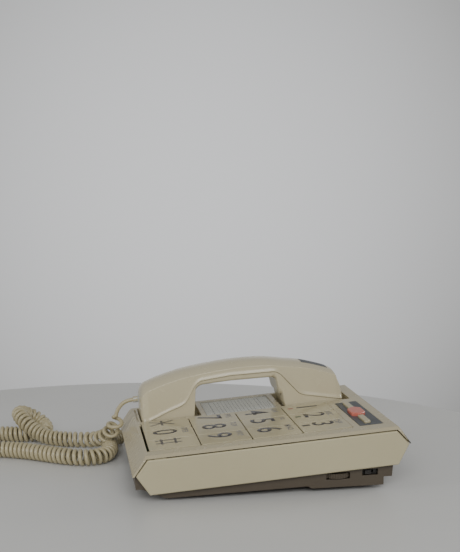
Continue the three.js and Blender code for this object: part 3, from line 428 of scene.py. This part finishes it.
low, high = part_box("line_jack")
depth = high.y - low.y
mouth = Vector(((low.x + high.x) / 2, high.y, (low.z + high.z) / 2))
lean = Vector((0, 0, 1)).rotation_difference(Vector((0, -1, CONTACT_SLOPE))).to_matrix().to_4x4()
shape = bmesh.new()
for place in (-1.5, -0.5, 0.5, 1.5):
    wire = bmesh.ops.create_cone(shape, cap_ends=True, segments=8, radius1=CONTACT_RADIUS, radius2=CONTACT_RADIUS,
                                 depth=0.7 * depth)["verts"]
    start = mouth + Vector((place * CONTACT_PITCH, -0.45 * depth, 0.4 * mm))
    bmesh.ops.transform(shape, matrix=Matrix.Translation(start) @ lean, verts=wire)
contact_wires = mesh_object("line_jack_wires", shape, gold, smooth_degrees=50)
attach(contact_wires, "base")

# ---- upper shell ----
# The ivory upper moulding: glossy ABS, yellowed with age. It holds the keys flush, forms the handset's
# two wells and the ledge over each side panel, and is cut away for the function strip and the directory.
shell_abs = moulded_abs("glossy_moulded_abs_shell", 0xb3aa8f, 0xaaa084, 0.24, grain=2.4 * mm, relief=0.002 * mm,
                        dust_share=0.03)
upper_shell = edge_rounded("top_housing", "upper_shell", shell_abs, 0.45 * mm)

# ---- side panels ----
# A six-sided plate with a bevelled rim in each side, moulded in ABS with a satin texture.
# It is pegged into the base below the shell's ledge, with a narrow dark seam all round.
SEAM = 0.45 * mm
panel_abs = moulded_abs("satin_moulded_abs_ivory", 0xbcb494, 0xb0a788, 0.36)
for side in ("right", "left"):
    panel = edge_rounded(side + "_side_panel", side + "_panel", panel_abs, 0.3 * mm)
    corners = [vert.co for vert in panel.data.vertices]
    for axis in (1, 2):
        low, high = min(c[axis] for c in corners), max(c[axis] for c in corners)
        for corner in corners:
            corner[axis] += SEAM * (1 - 2 * (corner[axis] - low) / (high - low))

# ---- thumb wheel and ringer switch ----
# The volume wheel is an ABS disc whose milled rim shows in a slot of the base. Behind it the ringer's
# three-place slider, with grip ridges, runs in a black slot.
WHEEL_TEETH = 44
GROOVE_DEPTH = 0.45 * mm
GROOVE_START = 0.45                              # the share of a tooth's pitch that its land takes
low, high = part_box("volume_wheel")
wheel_middle, wheel_radius, wheel_depth = (low + high) / 2, (high.x - low.x) / 2, high.z - low.z
shape = bmesh.new()
bmesh.ops.create_cone(shape, cap_ends=True, segments=4 * WHEEL_TEETH, radius1=wheel_radius, radius2=wheel_radius,
                      depth=wheel_depth)
for vert in shape.verts:
    turn = math.atan2(vert.co.y, vert.co.x) / (2 * math.pi) * WHEEL_TEETH
    if turn % 1 > GROOVE_START:
        vert.co.xy *= 1 - GROOVE_DEPTH / wheel_radius
rims = [edge for edge in shape.edges if len({round(v.co.z, 6) for v in edge.verts}) == 1]
bmesh.ops.bevel(shape, geom=rims, offset=0.35 * mm, segments=2, profile=0.5, affect="EDGES", material=-1)
bmesh.ops.translate(shape, verts=shape.verts, vec=wheel_middle)
wheel = mesh_object("milled_volume_wheel", shape, taupe_abs, smooth_degrees=30)
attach(wheel, "volume_wheel")
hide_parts("volume_wheel")

RIDGES = 4
RIDGE_SIZE = (0.5 * mm, 0.5 * mm, 3 * mm)
knob = edge_rounded("ringer_switch_slider", "ringer_slider_knob", black_abs, 0.2 * mm)
low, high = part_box("ringer_switch_slider")
shape = bmesh.new()
for ridge in range(RIDGES):
    bar = bmesh.ops.create_cube(shape, size=1)["verts"]
    middle = Vector((high.x, low.y + (ridge + 0.5) * (high.y - low.y) / RIDGES, (low.z + high.z) / 2))
    bmesh.ops.scale(shape, vec=RIDGE_SIZE, verts=bar)
    bmesh.ops.translate(shape, vec=middle, verts=bar)
bmesh.ops.bevel(shape, geom=shape.edges[:], offset=0.12 * mm, segments=2, profile=0.5, affect="EDGES", material=-1)
ridges = mesh_object("ringer_slider_ridges", shape, black_abs, smooth_degrees=40)
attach(ridges, "ringer_switch_slider")

# ---- keys ----
# Twelve large keys, moulded in glossy ABS and pad-printed: a figure 24 mm high, its letters behind it, and
# on the rear row a coloured mark for the number stored there. Each sinks 2.5 mm on its own dome.
DECK_EDGE = mm * Vector((0, -111.6, 43.8))       # the deck's plane at the key field's front edge
deck_up = -Vector(next(j["axis"] for j in frame["joints"] if j["name"] == "key_5_press")).normalized()
deck = Matrix.Translation(DECK_EDGE) @ Matrix((
    (mm, 0, 0, 0), (0, mm * deck_up.z, mm * deck_up.y, 0), (0, -mm * deck_up.y, mm * deck_up.z, 0), (0, 0, 0, 1)))
KEY_COLUMNS = (-12.9, 18.8, 50.5)                # millimetres on the deck, as everything through `deck` is
KEY_PITCH = 47.5
KEY_TOP = 0.5
FIGURE_HEIGHT = 23.6
REAR_FIGURE_HEIGHT = 21
FIGURE_WIDTH = 17
LETTER_HEIGHT = 5.9
LETTER_WIDTH = 18
INK_FILM = 0.03
FIGURE_PLACES = (20.2, 67.7, 115.2, 167.2)
LETTER_PLACE = 39.2                              # from a key's front edge
MARK_PLACE = 7.8
MARK_SIZES = ((3.4, 5.4), (3.8, 5.8), (4.4, 7.6))
KEYS = (
    (("key_star", "*", ""), ("key_0", "0", "OPER"), ("key_hash", "#", "")),
    (("key_7", "7", "PRS"), ("key_8", "8", "TUV"), ("key_9", "9", "WXY")),
    (("key_4", "4", "GHI"), ("key_5", "5", "JKL"), ("key_6", "6", "MNO")),
    (("key_1", "1", ""), ("key_2", "2", "ABC"), ("key_3", "3", "DEF")),
)
key_abs = moulded_abs("polished_moulded_abs_ivory", 0xb2a98b, 0xa79e80, 0.15, grain=2.4 * mm, relief=0.003 * mm)


def printing_ink(name, tone):
    """Pad-printing ink: a thin satin film, a little lighter where it has been rubbed."""
    material, tree, shader = new_material(name, IOR=1.5, Roughness=0.35)
    place = add_node(tree, "ShaderNodeTexCoord").outputs["Object"]
    rub = add_node(tree, "ShaderNodeTexNoise", {"Vector": place, "Scale": 1 / (3 * mm), "Detail": 3.0})
    share = add_node(tree, "ShaderNodeMapRange", {"Value": rub.outputs["Fac"], "From Min": 0.5, "From Max": 0.8,
                                                  "To Max": 0.3})
    mixed = add_node(tree, "ShaderNodeMix", {"Factor": share.outputs["Result"], 6: rgb(tone), 7: rgb(0x8d8570)},
                     data_type="RGBA")
    tree.links.new(mixed.outputs[2], shader.inputs["Base Color"])
    return material


figure_ink = printing_ink("pad_printing_ink_charcoal", 0x3f3d40)
letter_ink = printing_ink("pad_printing_ink_grey", 0x66666b)
mark_inks = [printing_ink("pad_printing_ink_" + word, tone) for word, tone in
             (("red", 0x8c3b2e), ("green", 0x2f4a33), ("black", 0x262528))]


def crossed_bars(bars):
    """Flat bars as a bmesh, each (length, width, x, y, turn in degrees)."""
    shape = bmesh.new()
    for layer, (length, width, x, y, turn) in enumerate(bars):
        bar = bmesh.ops.create_grid(shape, x_segments=1, y_segments=1, size=0.5)["verts"]
        bmesh.ops.scale(shape, vec=(length, width, 1), verts=bar)
        bmesh.ops.rotate(shape, matrix=Matrix.Rotation(math.radians(turn), 3, "Z"), verts=bar)
        bmesh.ops.translate(shape, vec=(x, y, 0.001 * layer), verts=bar)
    return shape


SYMBOLS = {
    "*": [(17.6, 2.2, 0, 0, 0), (27.6, 2.2, 0, 0, 60), (27.6, 2.2, 0, 0, -60)],
    "#": [(24.5, 2.3, -4.4, 0, 90), (24.5, 2.3, 4.4, 0, 90), (17, 2.3, 0, -6.4, 0), (17, 2.3, 0, 6.4, 0)],
}


def lettering(text, height, width, weight):
    """Plain sans-serif lettering as a flat bmesh, centred, of a given height and greatest width."""
    line = bpy.data.curves.new("lettering", "FONT")
    line.body = text
    line.offset = weight
    line.resolution_u = 6
    written = bpy.data.objects.new("lettering", line)
    bpy.context.scene.collection.objects.link(written)
    mesh = bpy.data.meshes.new_from_object(written.evaluated_get(bpy.context.evaluated_depsgraph_get()))
    bpy.data.objects.remove(written)
    shape = bmesh.new()
    shape.from_mesh(mesh)
    xs, ys = [v.co.x for v in shape.verts], [v.co.y for v in shape.verts]
    bmesh.ops.translate(shape, verts=shape.verts, vec=(-(min(xs) + max(xs)) / 2, -(min(ys) + max(ys)) / 2, 0))
    tall, wide = height / (max(ys) - min(ys)), width / (max(xs) - min(xs))
    bmesh.ops.scale(shape, verts=shape.verts, vec=(min(wide, tall), tall, 1))
    return shape


def printed(name, shape, x, back, up, material, body):
    """Lays a flat bmesh, in millimetres, on the deck as a film of ink."""
    film = bmesh.ops.extrude_face_region(shape, geom=shape.faces[:])["geom"]
    raised = [item for item in film if isinstance(item, bmesh.types.BMVert)]
    bmesh.ops.translate(shape, verts=raised, vec=(0, 0, INK_FILM))
    bmesh.ops.translate(shape, verts=shape.verts, vec=(x, back, up + 0.005))
    bmesh.ops.transform(shape, verts=shape.verts, matrix=deck)
    bmesh.ops.recalc_face_normals(shape, faces=shape.faces)
    made = mesh_object(name, shape, material)
    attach(made, body)
    return made


for row, keys in enumerate(KEYS):
    for x, (node, figure, letters) in zip(KEY_COLUMNS, keys):
        cap = edge_rounded(node, node + "_cap", key_abs, 0.4 * mm, segments=3)
        height = REAR_FIGURE_HEIGHT if row == len(KEYS) - 1 else FIGURE_HEIGHT
        shape = crossed_bars(SYMBOLS[figure]) if figure in SYMBOLS else lettering(figure, height, FIGURE_WIDTH, 0.012)
        printed(node + "_figure", shape, x, FIGURE_PLACES[row], KEY_TOP, figure_ink, node)
        if letters:
            shape = lettering(letters, LETTER_HEIGHT, LETTER_WIDTH, 0.01)
            printed(node + "_letters", shape, x, row * KEY_PITCH + LETTER_PLACE, KEY_TOP, letter_ink, node)
        if row == len(KEYS) - 1:
            column = KEY_COLUMNS.index(x)
            shape = crossed_bars([(*MARK_SIZES[column], 0, 0, 0)])
            printed(node + "_mark", shape, x + 1, row * KEY_PITCH + MARK_PLACE, KEY_TOP, mark_inks[column],
                            node)

# ---- function strip ----
# A satin plate in slate ABS, let into the deck from below. Two long keys in ivory ABS and a raised octagonal
# one in red ABS stand through it, each on its own dome.
slate_abs = moulded_abs("satin_moulded_abs_slate", 0x4d5053, 0x45484b, 0.42)
red_abs = moulded_abs("glossy_moulded_abs_red", 0xc9705f, 0xbe6656, 0.22)
strip = edge_rounded("function_plate", "function_strip", slate_abs, 0.15 * mm)
for node, material, slot in (("left_function_key", key_abs, "key_abs"), ("right_function_key", key_abs, "key_abs"),
                             ("red_key", red_abs, "red_abs")):
    cap = edge_rounded(node, node + "_cap", material, 0.35 * mm, segments=3)

# ---- directory ----
# A printed card for numbers, of uncoated paper, between the handset's wells.
# It lies under a clear polycarbonate window that snaps into the deck.
CARD_TOP = -1.1
CARD = {"left": -77.8, "right": -26.7, "front": 68, "rear": 138}
CARD_LINES = 11
LINE_PITCH = 3.7


def uncoated_paper():
    """Uncoated card: off-white and matt, with a soft fibre mottle."""
    material, tree, shader = new_material("uncoated_card", IOR=1.45, Roughness=0.85)
    place = add_node(tree, "ShaderNodeTexCoord").outputs["Object"]
    fibre = add_node(tree, "ShaderNodeTexNoise", {"Vector": place, "Scale": 1 / (1.2 * mm), "Detail": 4.0})
    tone = add_node(tree, "ShaderNodeMix", {"Factor": fibre.outputs["Fac"], 6: rgb(0xdcdad0), 7: rgb(0xcfccc0)},
                    data_type="RGBA")
    tree.links.new(tone.outputs[2], shader.inputs["Base Color"])
    return material


dress("directory_card", uncoated_paper())
window_plastic = clear_polycarbonate("clear_polycarbonate_window", 0.26)
window = edge_rounded("directory_window", "directory_cover", window_plastic, 0.15 * mm)
shape = bmesh.new()


def ruled_line(x0, x1, back, width):
    """Adds one printed line of the card, across it, to the shape."""
    line = bmesh.ops.create_grid(shape, x_segments=1, y_segments=1, size=0.5)["verts"]
    bmesh.ops.scale(shape, vec=(x1 - x0, width, 1), verts=line)
    bmesh.ops.translate(shape, vec=((x0 + x1) / 2, back, 0), verts=line)


ruled_line(CARD["left"] + 2, CARD["right"] - 2, CARD["front"] + 8, 1)
for line in range(CARD_LINES):
    ruled_line(CARD["left"] + 2, CARD["right"] - 2, CARD["front"] + 13.5 + LINE_PITCH * line, 0.55)
for line in range(2):
    ruled_line(CARD["left"] + 3, CARD["right"] - 3, CARD["rear"] - 13.5 + 3.4 * line, 0.7)
for line in range(3):
    ruled_line(CARD["left"] + 20, CARD["right"] - 8, CARD["rear"] - 6.8 + 2.3 * line, 0.5)
printed("directory_rules", shape, 0, 0, CARD_TOP, figure_ink, "base")

# ---- hook plunger ----
# The small black plunger in the rear well, moulded in acetal. The handset's receiver end holds it down
# against the hook switch's spring.
plunger = edge_rounded("hook_plunger", "hook_plunger_button", black_abs, 0.6 * mm, segments=3)

# ---- handset ----
# Two glossy ABS shells. The back is one arched cover, slightly domed across and flared out along its lower
# edge; the face carries the two bells and closes the grip from below. A dark label is let into the rear end.
HANDSET_X = -53.8                    # these sizes are millimetres on the deck
HANDSET_FRONT = 2.2
HANDSET_REAR = 211.4
HANDSET_HALF = 24.1
END_ROUNDING = 8.5
DOME_DROP = 3.4                      # from the middle of the back to its long edges
CROWN_EDGE = 0.9                     # the rounding where the back meets the sides
SIDE_TAPER = 0.02
FLARE = 1.2
FLARE_PROFILE = ((0.85, 0), (1, 0.3), (0.9, 1), (0.62, 1.9), (0.33, 2.8), (0.12, 3.7), (0, 4.6))
SHELL_GAP = 0.5
SECTION_PITCH = 2.4
CROWN = [
    (2.2, 19), (3, 24), (4.6, 27.8), (6.8, 30.5), (9.6, 32.4), (21, 36.6), (36, 40.5), (52, 43.6), (77.5, 46.4),
    (104, 47.8), (131.5, 47), (153, 43.6), (177, 38.8), (202.5, 29.8), (205.6, 24.4), (208.6, 17), (211.4, 4),
]
PARTING = [
    (2.2, -3.6), (13.1, -0.2), (27.5, 5.7), (43.3, 10.9), (48.2, 14.4), (57.1, 29.2), (62.9, 34.2), (94.3, 36.6),
    (140.1, 36), (145.5, 33.5), (155.2, 21.8), (163.4, 11.7), (168, 8.8), (206, 0.4), (211.4, -1),
]
UNDERSIDE = [
    (2.2, -6.4), (4, -7.6), (54.6, -7.6), (56.2, 2), (58.6, 26.4), (64, 30.2), (94, 31.2), (137.6, 30.4),
    (141.2, 27.4), (144.3, 10.8), (147.4, 10.2), (148, 2), (150.5, -7.6), (209.4, -7.6), (211.4, -6.2),
]
UNDERSIDE_ROUNDING = [
    (2.2, 1.2), (50, 1.2), (54.6, 5), (58.6, 7), (64, 2.6), (137, 2.6), (141, 8), (147, 8), (150.5, 5), (156, 1.2),
    (211.4, 1.2),
]
ivory_abs = moulded_abs("glossy_moulded_abs_ivory", 0xc5bc9f, 0xbbb193, 0.22, grain=1.8 * mm, relief=0.004 * mm)


def eased_corners(points, reach=4, steps=4):
    """The same line with each of its inner corners drawn as a short curve."""
    eased = [points[0]]
    for before, corner, after in zip(points, points[1:], points[2:]):
        a, b, c = (Vector(p) for p in (before, corner, after))
        start = b + (a - b).normalized() * min(reach, (a - b).length * 0.45)
        end = b + (c - b).normalized() * min(reach, (c - b).length * 0.45)
        for step in range(steps + 1):
            t = step / steps
            eased.append(tuple((1 - t) ** 2 * start + 2 * t * (1 - t) * b + t * t * end))
    return [*eased, points[-1]]


def height_at(line, back):
    """The height of a line of (back, up) points at one place."""
    for (b0, u0), (b1, u1) in zip(line, line[1:]):
        if b0 <= back <= b1:
            return u0 + (u1 - u0) * (back - b0) / max(b1 - b0, 1e-6)
    return line[-1][1]


def half_width_at(back, half):
    """The handset's half width, which closes in a quarter circle towards each end."""
    inside = min(back - HANDSET_FRONT, HANDSET_REAR - back)
    short = max(END_ROUNDING - inside, 0)
    return half - (END_ROUNDING - math.sqrt(max(END_ROUNDING ** 2 - short ** 2, 0)))


def half_ring_of_back(back):
    """The back shell's section from its lower edge, round the side, to its crown, as (out, up) points."""
    low, high = height_at(parting, back) + SHELL_GAP, height_at(crown, back)
    half = half_width_at(back, HANDSET_HALF)
    scale = min(1, (high - low) / 9)             # a section lower than 9 mm is drawn smaller
    shoulder = high - (DOME_DROP + CROWN_EDGE) * scale
    ring = [(half - 1.5, low)]
    ring += [(half + out * FLARE, low + up * scale) for out, up in FLARE_PROFILE]
    ring += [(half - SIDE_TAPER * (u - low), u) for u in (low + (shoulder - low) * share for share in (0.45, 0.75))]
    inner = half - SIDE_TAPER * (shoulder - low)
    for step in range(5):
        turn = step / 4 * math.pi / 2 * 0.87
        ring.append((inner - CROWN_EDGE * (1 - math.cos(turn)), shoulder + CROWN_EDGE * scale * math.sin(turn)))
    last_out, last_up = ring[-1]
    for share in (0.85, 0.7, 0.5, 0.3, 0):
        ring.append((last_out * share, high - (high - last_up) * share ** 2))
    return ring


def half_ring_of_face(back):
    """The face shell's section from its middle underneath, round the side, to the parting line."""
    high = height_at(parting, back)
    low = min(height_at(underside, back), high - 0.6)
    half = half_width_at(back, HANDSET_HALF - 0.1)
    radius = min(height_at(UNDERSIDE_ROUNDING, back), (high - low) * 0.8)
    ring = [(0, low), ((half - radius) * 0.6, low)]
    for step in range(7):
        turn = step / 6 * math.pi / 2
        ring.append((half - radius + radius * math.sin(turn), low + radius * (1 - math.cos(turn))))
    return [*ring, (half, high), (half - 2, high)]


def lofted_shell(name, half_ring, places):
    """A closed shell through one symmetrical section at each place along the handset."""
    shape = bmesh.new()
    rings = []
    for back in places:
        half = half_ring(back)
        mirrored = [(-out, up) for out, up in reversed(half)]
        ring = half + mirrored[1:] if half[-1][0] == 0 else half + mirrored[:-1]
        rings.append([shape.verts.new((HANDSET_X + out, back, up)) for out, up in ring])
    for ring, following in zip(rings, rings[1:]):
        for place in range(len(ring)):
            after = (place + 1) % len(ring)
            shape.faces.new((ring[place], ring[after], following[after], following[place]))
    shape.faces.new(rings[0])
    shape.faces.new(rings[-1])
    bmesh.ops.recalc_face_normals(shape, faces=shape.faces)
    bmesh.ops.transform(shape, verts=shape.verts, matrix=deck)
    made = mesh_object(name, shape, ivory_abs, smooth_degrees=38)
    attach(made, "handset")
    return made


parting = eased_corners(PARTING, 3.5)
underside = eased_corners(UNDERSIDE, 2.5)
crown = [CROWN[0], *((p.x, p.y) for p, _ in smooth_route([Vector((*p, 0)) for p in CROWN[1:-1]], 6)), CROWN[-1]]
end_places = [END_ROUNDING * (1 - math.cos(step / 8 * math.pi / 2)) for step in range(9)]
places = {*(HANDSET_FRONT + d for d in end_places), *(HANDSET_REAR - d for d in end_places)}
places |= {HANDSET_FRONT + END_ROUNDING + SECTION_PITCH * step for step in range(80)}
places |= {back for line in (parting, underside) for back, _ in line if HANDSET_FRONT < back < HANDSET_REAR}
places = sorted(places)
places = [a for a, b in zip(places, [*places[1:], 1e9]) if b - a > 0.12 and a <= HANDSET_REAR]
handset_back = lofted_shell("handset_back_shell", half_ring_of_back, places)
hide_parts("handset_back")
handset_face = lofted_shell("handset_face_shell", half_ring_of_face, places)
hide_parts("handset_face")

LABEL = {"front": 172.3, "rear": 199.7, "half": 9, "lift": 0.08, "thickness": 0.4}
shape = bmesh.new()
rows = []
for step in range(15):
    back = LABEL["front"] + (LABEL["rear"] - LABEL["front"]) * step / 14
    ring = half_ring_of_back(back)
    edge_out, edge_up = ring[-6]
    top = ring[-1][1]
    rows.append([shape.verts.new((HANDSET_X + x, back, top - (top - edge_up) * (x / edge_out) ** 2 + LABEL["lift"]))
                 for x in (LABEL["half"] * share for share in (-1, -0.6, -0.2, 0.2, 0.6, 1))])
for row, following in zip(rows, rows[1:]):
    for place in range(len(row) - 1):
        shape.faces.new((row[place], row[place + 1], following[place + 1], following[place]))
grown = bmesh.ops.extrude_face_region(shape, geom=shape.faces[:])["geom"]
bmesh.ops.translate(shape, verts=[item for item in grown if isinstance(item, bmesh.types.BMVert)],
                    vec=(0, 0, -LABEL["thickness"]))
bmesh.ops.recalc_face_normals(shape, faces=shape.faces)
bmesh.ops.transform(shape, verts=shape.verts, matrix=deck)
label = mesh_object("handset_label_strip", shape, slate_abs, smooth_degrees=30)
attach(label, "handset")
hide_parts("handset_label")

# The sound holes are not cut through the face shell: a black disc stands at each one. Its black is partly the black
# capsule behind the hole and partly painted shade, the dark inside the hole.
HOLE_RADIUS = 0.8
HOLE_PITCH = 4
shape = bmesh.new()
for middle, rings in ((29, 1), (181, 2)):        # the microphone's holes, then the receiver's
    spots = [(0, 0)]
    for ring in range(1, rings + 1):
        out = HOLE_PITCH * ring
        spots += [(out * math.cos(turn * math.pi / (3 * ring)), out * math.sin(turn * math.pi / (3 * ring)))
                  for turn in range(6 * ring)]
    for x, back in spots:
        hole = bmesh.ops.create_cone(shape, cap_ends=True, segments=14, radius1=HOLE_RADIUS, radius2=HOLE_RADIUS,
                                     depth=0.5)["verts"]
        bmesh.ops.translate(shape, verts=hole, vec=(HANDSET_X + x, middle + back, UNDERSIDE[1][1] + 0.2))
bmesh.ops.transform(shape, verts=shape.verts, matrix=deck)
sound_hole_shade_discs = mesh_object("handset_sound_hole_shade_discs", shape, black_abs)
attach(sound_hole_shade_discs, "handset")

# ---- table, light and background ----
# A round pale table under even daylight: one wide softbox over the near side, a tall window beyond each end,
# and a pale wall all round that is brightest behind the telephone.
TABLE_RADIUS = 0.516
TABLE_THICKNESS = 0.028
TABLE_MIDDLE = (0.1137, -0.1429)


def pale_laminate():
    """Melamine laminate: pale grey with a soft sheen, very slightly mottled."""
    material, tree, shader = new_material("melamine_laminate", IOR=1.5)
    place = add_node(tree, "ShaderNodeTexCoord").outputs["Object"]
    mottle = add_node(tree, "ShaderNodeTexNoise", {"Vector": place, "Scale": 1 / (140 * mm), "Detail": 3.0})
    tone = add_node(tree, "ShaderNodeMix", {"Factor": mottle.outputs["Fac"], 6: rgb(0xcdcdcb), 7: rgb(0xc6c6c4)},
                    data_type="RGBA")
    rough = add_node(tree, "ShaderNodeMapRange", {"Value": mottle.outputs["Fac"], "To Min": 0.3, "To Max": 0.4})
    tree.links.new(tone.outputs[2], shader.inputs["Base Color"])
    tree.links.new(rough.outputs["Result"], shader.inputs["Roughness"])
    return material


shape = bmesh.new()
bmesh.ops.create_cone(shape, cap_ends=True, segments=256, radius1=TABLE_RADIUS, radius2=TABLE_RADIUS,
                      depth=TABLE_THICKNESS)
rims = [edge for edge in shape.edges if len({round(v.co.z, 6) for v in edge.verts}) == 1]
bmesh.ops.bevel(shape, geom=rims, offset=3 * mm, segments=3, profile=0.5, affect="EDGES", material=-1)
bmesh.ops.translate(shape, verts=shape.verts, vec=(*TABLE_MIDDLE, -TABLE_THICKNESS / 2))
mesh_object("table", shape, pale_laminate(), smooth_degrees=40)


def softbox(name, place, aim, width, height, power):
    """A rectangular white light at one place, turned towards another."""
    light = bpy.data.lights.new(name, "AREA")
    light.shape, light.size, light.size_y = "RECTANGLE", width, height
    light.energy = power
    made = bpy.data.objects.new(name, light)
    made.location = place
    made.rotation_euler = (Vector(aim) - Vector(place)).to_track_quat("-Z", "Y").to_euler()
    bpy.context.scene.collection.objects.link(made)


softbox("near_softbox", (1.95, -0.25, 1.3), (0, 0, 0.05), 2.2, 1.0, 37)
softbox("front_window", (0.25, -1.7, 0.4), (0, 0, 0.07), 0.16, 0.9, 6)
softbox("rear_window", (-0.35, 1.7, 0.5), (0, 0, 0.07), 0.2, 1.1, 7)

world = bpy.data.worlds.new("pale_room")
world.use_nodes = True
bpy.context.scene.world = world
tree = world.node_tree
direction = add_node(tree, "ShaderNodeTexCoord").outputs["Generated"]
toward = add_node(tree, "ShaderNodeVectorMath", {0: direction, 1: (-0.9875, 0.135, -0.02)}, operation="DOT_PRODUCT")
glow = add_node(tree, "ShaderNodeMapRange", {"Value": toward.outputs["Value"], "From Min": 0.93, "From Max": 1.0})
pale = add_node(tree, "ShaderNodeMix", {"Factor": glow.outputs["Result"], 6: rgb(0x9f9f9d), 7: rgb(0xf0f1f3)},
                data_type="RGBA")
tree.links.new(pale.outputs[2], tree.nodes["Background"].inputs["Color"])
tree.nodes["Background"].inputs["Strength"].default_value = 1.0
